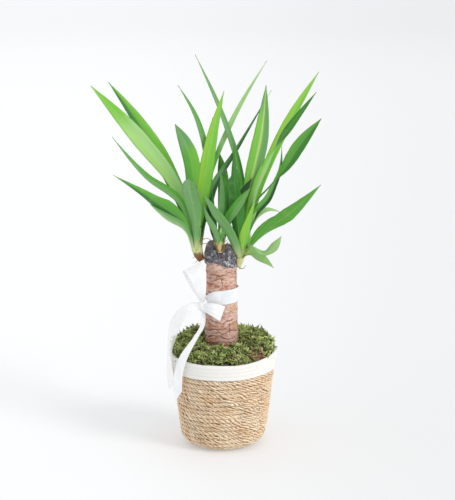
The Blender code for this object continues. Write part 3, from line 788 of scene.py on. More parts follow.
def growth(layer, x, y):
    # how densely a layer grows at a place, from 0 to 1
    dry = dryness(x, y)
    if layer == "mossDry":
        return min(1.0, dry + 0.12 + 0.4 * smooth(0.15, 0.5, noise.noise(Vector((x, y, 77)) / 12)))
    clump = clumpAt(x, y)
    lively = smooth(-0.3, 0.25, clump if layer == "mossBright" else -clump)
    return (0.4 + 0.6 * lively) * (1 - 0.92 * dry)


def vigour(x, y):
    # tufts stand longer at the back and at the right, where they hang over the rim
    outer = smooth(0.75, 0.95, math.hypot(x, y) / mossValues["edgeRadius"])
    return 0.85 + 0.5 * clumpAt(x, y) + outer * (0.25 * smooth(0, 60, y) + 0.35 * smooth(50, 80, x))


def paintMoss(layer):
    low, middle, high = mossValues["colors"][layer]

    def paint(graph):
        tip, shade = graph.attributes("tip", "shade")
        drift = graph.noise(graph.place(), 75, 2)
        color = graph.layers(
            None, low,
            (tip.step(0.1, 0.6), middle),
            (tip.step(0.3, 0.9) * (0.15 + shade * 0.85), high),
            (drift.step(0.58, 0.38) * 0.65, low),
        )
        return {"Base Color": color, "Roughness": 0.8 + shade * 0.1}

    return paint


def paintMound(graph):
    under, dry = mossValues["under"], mossValues["colors"]["mossDry"][1]
    grain = graph.noise(graph.place(), 420, 4)
    color = graph.blend(grain, under * 0.6, under * 1.6)
    color = graph.blend(graph.attribute("dry") * grain.step(0.3, 0.6), color, dry)
    return {"Base Color": color, "Roughness": 0.9 + grain * 0.05, "bump": (grain, 0.8, 0.001)}


def addMoss():
    shared = mossValues
    mound = mossMesh()
    setAttribute(mound, "dry", [dryness(vertex.co.x / mm, vertex.co.y / mm) for vertex in mound.vertices])
    addPiece("mossMound", mound, makeMaterial("mossMound", paintMound), "moss", "moss")
    for layer, values in shared["layers"].items():
        material = makeMaterial(layer, paintMoss(layer), matt)
        tuft = tuftMesh(layer, values["strands"], values["seed"], shared["strandLength"],
                        shared["strandThick"], shared["strandLean"], shared["strandBend"])
        host = mossMesh()
        places = [vertex.co / mm for vertex in host.vertices]
        lowest = shared["frontEdge"] - 6
        setAttribute(host, "growth", [growth(layer, p.x, p.y) * (p.z > lowest) for p in places])
        setAttribute(host, "vigour", [vigour(p.x, p.y) for p in places])
        addTufts(layer, "moss", material, tuft, host, values)


addMoss()
print("moss grown")


# Loose fibres that stick out of the rope and the rim
def fibreHost(profile, around):
    points = [ringPoint(angle, *ring) * mm for ring in profile for angle in turns(around)]
    mesh = newMesh("fibreHost", points, ringFaces(len(profile), around))
    for key in ("growth", "vigour"):
        setAttribute(mesh, key, [1.0] * len(points))
    return mesh


def paintFibre(color):
    def paint(graph):
        shade = graph.attribute("shade")
        return {"Base Color": graph.blend(shade * 0.4, color, color * 0.6), "Roughness": 0.7 + shade * 0.1}

    return paint


def addFibres():
    values = fibreValues
    rim, wall = rimValues, basketValues
    lip = ((rim["topRadius"] - 1, rim["high"] - 5), (rim["topRadius"] - 4, rim["high"] - 0.6),
           (rim["topRadius"] - 7, rim["high"] - 1))
    side = ((wall["lowRadius"] - 3, 20), (wall["topRadius"] - 1.5, wall["top"] - 2))
    hosts = {
        "rimFibres": ("cream_fibre", values["pale"], values["rimCount"], 5, lip),
        "wallFibres": ("seagrass", values["straw"], values["wallCount"], 9, side),
    }
    for name, (slot, color, count, seed, profile) in hosts.items():
        host = fibreHost(profile, values["around"])
        material = makeMaterial(name, paintFibre(color), matt)
        tuft = tuftMesh(name, 1, seed, values["length"], values["thick"], values["lean"], values["bend"])
        settings = {"density": count / surfaceArea(host), "seed": seed, "size": values["size"]}
        addTufts(name, slot, material, tuft, host, settings)


addFibres()
print("fibres loosened")


# Cane: bark with wavy ring scars, wrinkles between them and a few cracks that run up it
trunkValues = {
    "x": -2.5,
    "base": 62,
    "top": 332,
    "lowRadius": 32,
    "topRadius": 27.3,
    "relief": 0.9,
    "scarPitch": 17,
    "moss": 166,                  # below this height the bark is buried and coarse
    "buriedRows": 12,
    "around": 200,
    "edge": 331.5,                # height of the sawn edge, and how much lower it lies on the right
    "edgeDrop": 4.5,
    "edgePeak": 6,                # how much higher it stands in front on the left
    "peakAt": -2.04,              # where that is and how wide, in radians
    "peakWidth": 0.55,
    "ringLift": 0.8,
    "wrinkleDepth": 0.35,
    "crackDepth": 0.8,
    "shrink": 0.2,                # how far the bark stays inside the sizes above
    # scars: pairs of angle and height round the cane, then how deep each one is
    "scars": (
        (((-150, 315), (-115, 317), (-97, 313), (-75, 316), (-47, 320), (-14, 317), (60, 313),
         (130, 318)), 1.0),
        (((-150, 309), (-127, 303), (-95, 308), (-72, 305), (-47, 300), (-14, 306), (50, 301),
         (120, 306)), 0.8),
        (((-150, 299), (-115, 295), (-90, 291), (-60, 296), (-14, 292), (60, 290), (140, 294)), 0.5),
        (((-150, 283), (-90, 279), (-20, 281), (60, 276), (130, 280)), 0.5),
        (((-150, 268), (-90, 262), (-20, 268), (60, 262), (130, 266)), 0.6),
        (((-150, 255), (-100, 251), (-60, 255), (-14, 248), (60, 250), (130, 252)), 0.4),
        (((-150, 240), (-120, 231), (-92, 226), (-65, 231), (-14, 241), (60, 236), (130, 240)), 1.0),
        (((-155, 232), (-110, 220), (-88, 216), (-55, 225), (-14, 228), (60, 224), (130, 228)), 0.7),
        (((-150, 212), (-110, 216), (-85, 207), (-55, 214), (-14, 210), (60, 210), (130, 214)), 0.9),
        (((-150, 201), (-100, 204), (-65, 197), (-14, 203), (60, 198), (130, 202)), 1.0),
        (((-150, 190), (-90, 193), (-20, 188), (60, 187), (130, 190)), 0.8),
        (((-150, 178), (-60, 181), (60, 176)), 0.6),
    ),
    # cracks: angle, lowest and highest point
    "cracks": ((-87, 290, 311), (-60, 209, 226), (60, 250, 290), (130, 200, 240), (10, 292, 316)),
    # patches of another colour: angle, height, size
    "rust": ((-128, 294, 17), (-122, 196, 17), (-70, 297, 9), (70, 280, 20), (150, 220, 18),
             (-140, 250, 12)),
    "ochre": ((-42, 252, 15), (-95, 245, 9), (100, 300, 16), (-60, 306, 9)),
    "tan": tint(202, 160, 132),
    "rose": tint(226, 196, 182),
    "rustTone": tint(190, 112, 70),
    "ochreTone": tint(222, 176, 134),
    "pink": tint(206, 166, 154),
    "umber": tint(126, 82, 66),
    "dark": tint(112, 50, 40),
    "grey": tint(162, 138, 128),
}


def trunkTop(angle):
    # the sawn edge: highest in front on the left, lowest on the right
    values = trunkValues
    peak = math.exp(-(apart(angle, values["peakAt"]) / values["peakWidth"]) ** 2)
    right = max(0.0, math.cos(angle + 0.2))
    return values["edge"] - values["edgeDrop"] * right + values["edgePeak"] * peak


def crackAt(angle, height, radius):
    deepest = 0.0
    for degrees, low, high in trunkValues["cracks"]:
        away = apart(angle, math.radians(degrees))
        away = abs(away * radius + 1.6 * wave(degrees, height / 7))
        share = smooth(low - 4, low + 3, height) * (1 - smooth(high - 3, high + 4, height))
        deepest = max(deepest, share * (1 - smooth(0.35, 1.3, away)))
    return deepest


def scarsAt(angle):
    # height and depth of each scar at an angle
    turn = Vector((math.cos(angle), math.sin(angle)))
    degrees = math.degrees(angle)
    found = []
    for index, (points, depth) in enumerate(trunkValues["scars"]):
        line = points[0][1]
        for (start, low), (end, high) in zip(points[-1:] + points[:-1], points):
            span = (end - start) % 360
            if (degrees - start) % 360 <= span:
                line = low + (high - low) * smooth(0, span, (degrees - start) % 360)
        line += 1.6 * wave(*turn * 4, index * 5) + 0.9 * wave(*turn * 13, index * 7)
        faint = smooth(-0.35, 0.25, wave(*turn * 2.6, index * 3))
        found.append((line, depth * (0.3 + 0.7 * faint)))
    return found


def patchAt(patches, angle, height, radius):
    strongest = 0.0
    for degrees, middle, size in patches:
        away = apart(angle, math.radians(degrees))
        distance = math.hypot(away * radius, (height - middle) * 1.6) / size
        strongest = max(strongest, 1 - smooth(0.35, 1.0, distance))
    return strongest


def barkAt(angle, height, scars):
    # the bark's radius, and what the paint needs to know of the place
    values = trunkValues
    share = (height - values["base"]) / (values["top"] - values["base"])
    radius = values["lowRadius"] + (values["topRadius"] - values["lowRadius"]) * share
    askew = height + 5 * math.sin(angle + height / 40)
    swell = abs(math.sin(math.pi * askew / values["scarPitch"])) - 0.5
    lump = wave(math.cos(angle) * 1.5, math.sin(angle) * 1.5, height / 22)
    radius += values["relief"] * (0.6 * swell + 0.8 * lump)
    spot = ringPoint(angle, radius, height)
    marks = {"level": 0.0, "scar": 0.0, "lip": 0.0}
    for line, depth in scars:
        away = height - line
        marks["level"] += smooth(-1, 1, away)
        marks["scar"] = max(marks["scar"], depth * (1 - smooth(0.5, 1.6, abs(away))))
        marks["lip"] = max(marks["lip"], depth * smooth(0.2, 1.6, away) * (1 - smooth(2.0, 6.0, away)))
    wrinkle = abs(noise.noise(Vector((spot.x / 17, spot.y / 17, height / 7 + 20)) + spot / 30))
    shown = smooth(-0.2, 0.2, noise.noise(spot / 13 + Vector((0, 40, 0))))
    marks["wrinkle"] = (1 - smooth(0.01, 0.07, wrinkle)) * shown
    marks["crack"] = crackAt(angle, height, radius)
    for key in ("rust", "ochre"):
        marks[key] = patchAt(values[key], angle, height, radius)
    lift = values["ringLift"] * (marks["lip"] - marks["scar"]) - values["wrinkleDepth"] * marks["wrinkle"]
    radius += lift - values["crackDepth"] * marks["crack"] - values["shrink"]
    radius += 0.25 * noise.noise(spot / 2.6) + 0.5 * noise.noise(spot / 6.5 + Vector((0, 0, 90)))
    return radius, marks


def trunkMesh():
    values = trunkValues
    base, moss, buried = values["base"], values["moss"], values["buriedRows"]
    rows = round(values["top"] - moss)
    angles = turns(values["around"])
    scars = [scarsAt(angle) for angle in angles]
    points, notes = [], {}
    for row in range(buried + rows + 1):
        for angle, found in zip(angles, scars):
            if row < buried:
                height = base + (moss - base) * row / buried
            else:
                height = moss + (trunkTop(angle) - moss) * ((row - buried) / rows)
            radius, marks = barkAt(angle, height, found)
            points.append(ringPoint(angle, radius, height, values["x"]) * mm)
            for key, value in marks.items():
                notes.setdefault(key, []).append(value)
    around = len(angles)
    faces = ringFaces(buried + rows + 1, around)
    faces.append(tuple(range(around - 1, -1, -1)))
    last = len(points) - around
    points.append(Vector((values["x"], 0, values["top"])) * mm)
    faces += [(last + step, last + (step + 1) % around, last + around) for step in range(around)]
    mesh = newMesh("caneBark", points, faces)
    for key, marks in notes.items():
        setAttribute(mesh, key, marks + [0.0])
    return mesh


def paintBark(graph):
    values = trunkValues
    height = graph.add("ShaderNodeSeparateXYZ", {}, {0: graph.place()}, "Z")
    names = ("level", "rust", "ochre", "lip", "wrinkle", "scar", "crack")
    level, rust, ochre, lip, wrinkle, scar, crack = graph.attributes(*names)
    own = graph.add("ShaderNodeTexWhiteNoise", {"noise_dimensions": "1D"}, {"W": level.math("FLOOR", level)})
    broad = graph.noise(graph.place((1, 1, 1.5)), 45, 3)
    patch = graph.noise(graph.place((1, 1, 1.9)), 80, 4, 0.6)
    grain = graph.noise(graph.place((1, 1, 2.6)), 120, 5, 0.65)
    speck = graph.noise(graph.place(), 420, 3)
    streak = graph.noise(graph.place((1, 1, 3.4)), 60, 4, 0.62)
    color = graph.layers(
        values, "tan",
        ((own * 0.6 + broad * 0.8).step(0.35, 0.85), "rose"),
        (patch.step(0.5, 0.64) * 0.65, "rustTone"),
        (rust * patch.step(0.3, 0.55) * 0.85, "rustTone"),
        (ochre * patch.step(0.32, 0.56) * 0.8, "ochreTone"),
        (patch.step(0.42, 0.3) * 0.4, "grey"),
        (height.step(0.235, 0.185) * 0.55, "umber"),      # darker towards the moss: partly the foot's own darker bark, partly painted shade
        (height.step(0.314, 0.326) * 0.6, "rose"),        # paler under the wax
        (grain.step(0.5, 0.34) * 0.75, "umber"),
        (grain.step(0.55, 0.7) * 0.6, values["rose"] * 1.1),
        (streak.step(0.55, 0.7) * 0.5, "umber"),
        (streak.step(0.46, 0.34) * 0.55, values["rose"] * 1.12),
        (speck.step(0.55, 0.75) * 0.45, values["rose"] * 1.15),
        (lip * 0.5, "pink"),
        (wrinkle * 0.6, "umber"),
        (scar * 0.8, "dark"),
        (crack * 0.8, "dark"),
    )
    relief = grain + streak * 0.6 + speck * 0.4
    return {"Base Color": color, "Roughness": 0.6 + grain * 0.25, "bump": (relief, 0.8, 0.0011)}


def addTrunk():
    addPiece("caneBark", trunkMesh(), makeMaterial("bark", paintBark, 0.3), "bark", "trunk")


addTrunk()
print("bark grown")


# Wax: the seal's lumps melted into one, with a skirt that ran down over the bark
waxValues = {
    "overlap": 2.0,               # how far the skirt runs down past the sawn edge
    "skirt": (0.2, 1.5, 1.7, 0.6),
    "skirtStep": 3,
    "inside": 20,                 # radius at which the skirt closes inside the cap
    "around": 96,
    "drips": 2.2,
    "voxel": 0.9,
    "melt": 6,
    "ripple": 1.0,
    "fineRipple": 0.45,
    "shrink": 0.2,                # how far the melted wax draws in
    "dark": tint(86, 82, 90),
    # pale grey painted highlight, standing in for reflections on the glossy wax
    "smoke": tint(198, 196, 204),
    "black": tint(40, 36, 42),
    "plum": tint(104, 86, 98),
}


def waxSkirt():
    # rings down the skirt's outside, then two that close it inside the cap
    values = waxValues
    skirt = values["skirt"]
    rings = len(skirt) + 2
    points = []
    for ring in range(rings):
        for angle in turns(values["around"]):
            drip = wave(math.cos(angle) * 4, math.sin(angle) * 4, 3)
            low = trunkTop(angle) - values["overlap"] - values["drips"] * max(0.0, drip + 0.1)
            height = low + values["skirtStep"] * min(ring, len(skirt) - 1)
            bark = barkAt(angle, min(height, trunkTop(angle)), scarsAt(angle))[0]
            radius = bark + skirt[ring] if ring < len(skirt) else values["inside"]
            height = low if ring == rings - 1 else height
            points.append(ringPoint(angle, radius, height, trunkValues["x"]) * mm)
    return points, ringFaces(rings, values["around"], looped=True)


def waxMesh():
    values = waxValues
    form = bmesh.new()
    form.from_mesh(nodes["wax_cap"].data)
    bmesh.ops.remove_doubles(form, verts=form.verts, dist=0.00001)
    points, faces = waxSkirt()
    added = [form.verts.new(point) for point in points]
    ringed = [form.faces.new([added[index] for index in face]) for face in faces]
    bmesh.ops.recalc_face_normals(form, faces=ringed)
    mesh = bpy.data.meshes.new("waxForm")
    form.to_mesh(mesh)
    form.free()
    item = addObject("waxForm", mesh)
    remesh = item.modifiers.new("Remesh", "REMESH")
    remesh.mode = "VOXEL"
    remesh.voxel_size = values["voxel"] * mm
    melt = item.modifiers.new("Melt", "SMOOTH")
    melt.factor = 0.5
    melt.iterations = values["melt"]
    wax = evaluated(item)
    bpy.data.objects.remove(item, do_unlink=True)
    for vertex in wax.vertices:
        x, y, z = vertex.co / mm
        ripple = wave(x / 6, y / 6, z / 8) + values["fineRipple"] * wave(x / 2.6, y / 2.6, z / 3.6)
        vertex.co += vertex.normal * (values["ripple"] * ripple - values["shrink"]) * mm
    return wax


def paintWax(graph):
    broad = graph.noise(graph.place((1, 1, 0.7)), 75, 3)
    streak = graph.noise(graph.place((1.2, 1.2, 0.9)), 120, 4, 0.6)
    fleck = graph.noise(graph.place((1.2, 1.2, 1)), 300, 3, 0.6)
    color = graph.layers(
        waxValues, "black",
        (broad.step(0.38, 0.56), "dark"),
        (broad.step(0.52, 0.66) * 0.7, "plum"),
        # painted highlights: pale streaks and flecks stand in for the wax's reflections
        (streak.step(0.5, 0.62) * 0.7, "smoke"),
        (streak.step(0.46, 0.36) * 0.7, "black"),
        (fleck.step(0.58, 0.7) * 0.55, "smoke"),
    )
    relief = streak + fleck * 0.4
    return {"Base Color": color, "Roughness": 0.1 + streak * 0.3, "bump": (relief, 0.45, 0.0012)}


def addWax():
    addPiece("waxSeal", waxMesh(), makeMaterial("wax", paintWax, 0.8), "wax", "wax_cap")


addWax()
print("wax poured")


# Dry roots and withered leaf ends that hang about the feet of the shoots
rootValues = {
    "strand": 7,
    "strands": 3,
    "depth": 0.35,
    "sides": 8,
    "thick": 0.75,
    "taper": 0.6,
    "steps": 14,
    "paths": (
        ((-37, -6, 374), (-28, -10, 378), (-19, -14, 374), (-10, -17, 368)),
        ((-36, -8, 367), (-29, -11, 369), (-23, -15, 363)),
        ((0, -18, 367), (7, -16, 376), (13, -14, 380)),
        ((2, -19, 362), (9, -18, 369), (15, -16, 368)),
        ((-12, -19, 362), (-15, -21, 370), (-13, -22, 377)),
        ((29, -16, 325), (36, -17, 325), (41, -17, 331)),
        ((-46, -5, 345), (-50, -7, 344), (-54, -7, 341)),
        ((-43, -6, 340), (-46, -8, 337), (-49, -8, 333)),
        ((-36, -8, 341), (-33, -14, 339), (-31, -17, 334)),
    ),
    "bone": tint(196, 160, 112),
    "brown": tint(120, 74, 48),
}


def rootPaths(values):
    points, edges, radii = [], [], []
    for path in values["paths"]:
        first = len(points)
        for step, point in enumerate(smoothPath(path, values["steps"])):
            points.append(point * mm)
            radii.append(values["thick"] * (1 - values["taper"] * step / values["steps"]) * mm)
        edges += [(first + step, first + step + 1) for step in range(values["steps"])]
    return points, edges, radii


def paintRoot(graph):
    streak = graph.noise(graph.place(), 90, 3)
    color = graph.blend(streak.step(0.4, 0.6), rootValues["brown"], rootValues["bone"])
    return {"Base Color": color, "Roughness": 0.7 + streak * 0.2}


addCoil("dryRoots", rootValues, rootPaths(rootValues), paintRoot, 0.3, "bark")
print("roots dried")


# Shoots: the same stems and leaves as the solids, with fine channels, veins and tips
stemPoints = {
    "shoot_left": ((-38, 0, 336.5, 6), (-41, 0, 342, 8.5), (-45, 0, 354, 10),
                   (-47, 0, 367, 9.5), (-46, 0, 380, 8.5), (-42, 0, 396, 6)),
    "shoot_right": ((28, -2, 324, 4.5), (29, -2, 331, 7), (32, -2, 344, 7.5),
                    (36, -1, 359, 8.5), (40, 0, 374, 9), (45, 0, 392, 5)),
    "shoot_centre": ((-5, -13, 353, 3.5), (-5, -13, 358, 5.5), (-6, -13, 367, 7.5),
                     (-6, -13, 376, 6.5), (-5, -13, 388, 3)),
}
# Each leaf: azimuth and height of its root, the points it bends through, its width, where it is
# widest, how blunt it tapers, its root's width, its twist in degrees, and its tones: left half,
# right half, where it changes the later tone and how far along that is, and how pale its rib is
# The tones are partly the leaves' own greens and partly painted light and shade: leaves and halves that lie
# in shade get darker tones, lit ones paler, and the pale rib is partly painted highlight.
leafRows = {
    "shoot_left": {
        "broadLeft": (102, 374, ((-79.5, 15, 461), (-149, 40, 549), (-236, 66, 641)),
            29, .62, 1.6, .4, 0, ("fresh", "pale", "bright", .75)),
        "darkLeft": (84, 372, ((-87.5, 40, 469), (-150, 90, 570), (-210, 130, 643)),
            30, .52, 1.5, .45, 10, ("deep", "bright")),
        "archingLeft": (115, 371, ((-77, -20, 449), (-131, -50, 495), (-187, -80, 566)),
            14, .45, 1.3, .5, 0, ("grey", "mid")),
        "lowLeft": (192, 374, ((-70, -20, 408), (-120.5, -60, 456), (-184, -110, 505)),
            29, .48, .65, .42, 85, ("deep", "mid")),
        "lowShort": (205, 369, ((-68, -20, 400), (-95, -35, 420), (-125, -62, 447)),
            14.5, .5, 1.7, .6, 60, ("soft", "grey")),
        "uprightLeft": (80, 372, ((-49.5, 15, 450), (-57, 35, 515), (-86, 62, 573)),
            29, .6, 2.8, .45, 0, ("mid", "bright", "grey", .78)),
        "nodding": (258, 371, ((-49, -35, 426), (-56, -84, 476), (-56, -138, 503)),
            29, .55, 2.6, .35, 0, ("grey", "grey")),
        "bright": (108, 376, ((-32.5, -12, 479), (-20, -20, 556), (2.5, -28, 640)),
            30, .5, 1.6, .35, 15, ("lime", "bright")),
        "thinLeft": (60, 379, ((-28, 50, 513), (-46.5, 80, 580), (-82, 115, 638)),
            12, .45, 2.0, .6, 30, ("grey", "mid")),
        "darkCentre": (70, 380, ((-35, 30, 465), (-29, 50, 525), (-18, 75, 584)),
            17, .55, 1.8, .6, 30, ("deep", "mid")),
        "longCrossing": (40, 383, ((-20, 40, 491), (15.5, 80, 575), (80, 125, 682)),
            9.5, .6, 1.4, .5, 50, ("deep", "mid", "soft", .5)),
        "thinCrossing": (352, 379, ((-19, 10, 461), (24, 66, 526), (88, 108, 630)),
            18, .24, .7, .7, 100, ("dark", "deep", "soft", .92)),
        "backLeft": (95, 370, ((-84, 65, 463), (-132, 130, 526), (-190, 190, 576)),
            22, .5, 1.6, .5, 0, ("deep", "mid")),
        "backMiddle": (88, 372, ((-45, 70, 450), (-50, 130, 490), (-57, 185, 505)),
            26, .5, 1.6, .5, 0, ("mid", "deep")),
        "backRight": (70, 374, ((-30, 62, 470), (-25, 118, 515), (-21, 168, 545)),
            24, .5, 1.6, .5, 0, ("deep", "deep")),
    },
    "shoot_right": {
        "tallest": (100, 374, ((34, 40, 475), (7, 66, 568), (-50, 104, 694)),
            11, .5, 1.6, .5, 0, ("mid", "deep", "grey", .5)),
        "channelled": (92, 372, ((51, 10, 480), (67, 12, 554), (76, 20, 646)),
            29, .6, 1.7, .45, -8, ("bright", "grey", "grey", .84, .8)),
        "lime": (62, 371, ((67, 40, 466), (108.5, 76, 557), (175, 124, 662)),
            18, .6, 1.9, .6, 20, ("lime", "bright")),
        "turned": (282, 375, ((56, 2, 463), (69, 8, 494), (96, 20, 539), (165.5, 40, 632)),
            15, .6, 2.2, .7, 180, ("bright", "soft", "deep", .62)),
        "broadRight": (350, 373, ((60, -10, 446), (80, -22, 470), (99, -36, 495), (135.5, -58, 555),
                (167, -78, 597)),
            22, .76, 1.6, .15, 88, ("deep", "mid")),
        "thinRight": (20, 372, ((61, 14, 423), (80, 30, 442), (91, 44, 462), (103, 58, 491),
                (106, 70, 532)),
            15, .4, 1.3, .5, 60, ("mid", "dark")),
        "lowRight": (325, 365, ((76, -20, 394), (117.5, -55, 432), (166, -100, 487)),
            24, .55, 1.15, .38, -70, ("mid", "mid")),
        "arch": (20, 371, ((60, 10, 416), (76, 25, 423), (106, 50, 414)),
            12, .5, 1.8, .6, 60, ("soft", "soft")),
        "drooping": (315, 357, ((53, -22, 356), (65, -34, 350), (77, -46, 344), (89, -56, 334)),
            17, .5, 1.6, .5, 80, ("soft", "fresh")),
        "curled": (345, 372, ((52, -22, 365), (61, -30, 362), (71, -38, 358), (85, -46, 366),
                (102, -53, 390)),
            17, .7, 1.6, .75, 260, ("soft", "soft")),
        "frontLeft": (246, 358, ((12, -30, 391), (-10, -64, 430), (-32, -98, 471)),
            22, .5, 1.9, .75, 0, ("grey", "grey")),
        "spear": (265, 360, ((26, -25, 419), (21, -46, 476), (19, -84, 554)),
            26, .45, .75, .6, 0, ("deep", "deep")),
        "litSpear": (285, 362, ((39, -19, 390), (46, -21, 414), (57, -23, 451)),
            19, .35, 1.2, .8, 0, ("lime", "bright")),
        "backMiddle": (88, 370, ((55, 62, 470), (68, 122, 525), (77, 180, 572)),
            24, .55, 1.6, .5, 0, ("deep", "mid")),
        "backRight": (70, 369, ((65, 68, 458), (90, 128, 512), (117, 185, 546)),
            14, .55, 1.6, .5, 10, ("deep", "deep")),
        "backLeft": (100, 369, ((35, 60, 435), (30, 105, 470), (28, 150, 489)),
            20, .55, 1.6, .5, 0, ("mid", "deep")),
        "backLow": (40, 365, ((70, 48, 382), (105, 95, 397), (137, 140, 404)),
            20, .55, 1.6, .5, 30, ("mid", "mid")),
    },
    "shoot_centre": {
        "smallLeft": (240, 362, ((-13, -24, 391), (-27, -30, 420), (-36, -34, 446)),
            13, .5, 1.5, .6, 10, ("grey", "grey")),
        "darkLeft": (215, 368, ((-16, -13, 390), (-19, -13, 420), (-18, -11, 466)),
            15, .5, 1.5, .7, 45, ("dark", "deep")),
        "greyFront": (268, 366, ((0, -22, 417), (2, -32, 464), (-4, -46, 503)),
            19, .55, 1.8, .4, 10, ("grey", "deep")),
        "midFront": (280, 366, ((3, -16, 410), (8, -20, 441), (14, -22, 470)),
            18, .55, 1.8, .5, 10, ("mid", "grey")),
        "darkRound": (80, 367, ((-1, 16, 417), (1, 50, 469), (-6, 76, 519)),
            20, .66, 2.4, .4, 0, ("deep", "mid")),
        "darkRight": (330, 367, ((13, -4, 409), (30, 1, 446), (52, 4, 484)),
            25, .6, 1.7, .4, 70, ("dark", "dark")),
        "frontRight": (300, 365, ((2, -24, 400), (20, -42, 434), (48, -74, 478)),
            18, .6, 1.8, .5, -30, ("mid", "grey")),
        "spike": (285, 363, ((-5, -19, 380), (-3, -23, 394), (-1, -28, 409)),
            8, .5, 1.7, .6, 0, ("fresh", "soft")),
        "back": (85, 369, ((5, 38, 427), (10, 82, 455), (15, 125, 470)),
            20, .55, 1.7, .5, 0, ("deep", "deep")),
        "bractLeft": (190, 358, ((-14, -19, 366), (-17, -21, 371), (-19, -22, 378)),
            7, .4, 1.5, .8, 0, ("straw", "brown")),
        "bractRight": (330, 358, ((3, -19, 366), (7, -21, 371), (12, -22, 377)),
            7, .4, 1.5, .8, 0, ("brown", "straw")),
        "bractFront": (270, 357, ((-6, -21, 364), (-5, -23, 369), (-3, -24, 377)),
            8, .4, 1.5, .8, 0, ("straw", "straw")),
    },
}
leafValues = {
    "stations": 40,
    "cells": 8,
    "thick": 1.0,
    "edgeThick": 0.4,
    "rootFold": 0.30,
    "tipFold": 0.10,
    "tipWidth": 1.0,
    "twistSpan": (0.0, 0.55),
    "lateTwists": {
        "turned": (0.4, 0.85),
        "broadRight": (0.46, 0.74),
        "thinCrossing": (0, 0.28),
        "curled": (-0.35, 1.05),
        "drooping": (-0.4, 0.5),
    },
    "sheath": 15,                 # how far below its root a leaf's base wraps the stem
    "rootDepth": 1.5,             # how far it sinks into it
    "raggedness": 0.035,
    "stemRows": 30,
    "stemAround": 28,
    "wave": 0.35,
    "tones": {
        "lime": tint(144, 200, 64),
        "fresh": tint(160, 209, 114),
        "bright": tint(126, 196, 70),
        "mid": tint(94, 168, 58),
        "deep": tint(58, 128, 44),
        "dark": tint(32, 80, 36),
        "grey": tint(112, 166, 98),
        "soft": tint(154, 198, 126),
        "pale": tint(166, 212, 136),
        "rib": tint(196, 228, 130),
        "cream": tint(222, 222, 160),
        "straw": tint(206, 178, 124),
        "brown": tint(128, 84, 52),
    },
    "veinLight": (0.55, 0.78, 0.36),
    "veinDark": (0.35, 0.5, 0.22),
    "blotch": (0.42, 0.62, 0.28),
    "midrib": (0.62, 0.74, 0.36),
    "margin": (0.06, 0.16, 0.03),
    "heels": {"shoot_left": 350, "shoot_right": 322, "shoot_centre": 359},       # brown below
    "greens": {"shoot_left": (350, 388), "shoot_right": (335, 374), "shoot_centre": (360, 378)},
}


def leafShare(t, peak, taper, root):
    if t < peak:
        return root + (1 - root) * smooth(0, 1, t / peak)
    return 1 - ((t - peak) / (1 - peak)) ** taper


def stemAxis(shoot, height):
    stem = stemPoints[shoot]
    for low, high in zip(stem, stem[1:]):
        if height <= high[2]:
            share = max(0.0, (height - low[2]) / (high[2] - low[2]))
            return Vector(low[:3]).lerp(Vector(high[:3]), share)
    return Vector(stem[-1][:3])


def stemRadius(shoot, height):
    stem = stemPoints[shoot]
    for low, high in zip(stem, stem[1:]):
        if height <= high[2]:
            return low[3] + (high[3] - low[3]) * max(0.0, (height - low[2]) / (high[2] - low[2]))
    return stem[-1][3]


def leafTone(shoot, tones, t, across, height):
    table = leafValues["tones"]
    # the halves, as seen from the front, carry painted light and shade across the folded blade
    color = table[tones[0]].lerp(table[tones[1]], smooth(-0.5, 0.5, across))
    if len(tones) > 2:
        color = color.lerp(table[tones[2]], smooth(tones[3] - 0.07, tones[3] + 0.07, t))
    if tones[1] not in ("straw", "brown"):
        pale = (1 - smooth(*leafValues["greens"][shoot], height)) * (1 - smooth(0.16, 0.34, t))
        color = color.lerp(table["cream"], 0.9 * pale)
    if len(tones) > 4:
        # the pale rib: partly the leaf's paler midrib, partly a painted highlight along the fold
        color = color.lerp(table["rib"], tones[4] * (1 - smooth(0.0, 0.3, abs(across))))
    return color.lerp(table["brown"], 0.5 * smooth(0.98, 1.0, t))


def addPoint(body, point, color, across, run, seed):
    for key, value in zip(body, (point * mm, color, across, run * mm, seed)):
        body[key].append(value)


def addFaces(body, first, faces):
    body["faces"] += [tuple(first + index for index in face) for face in faces]


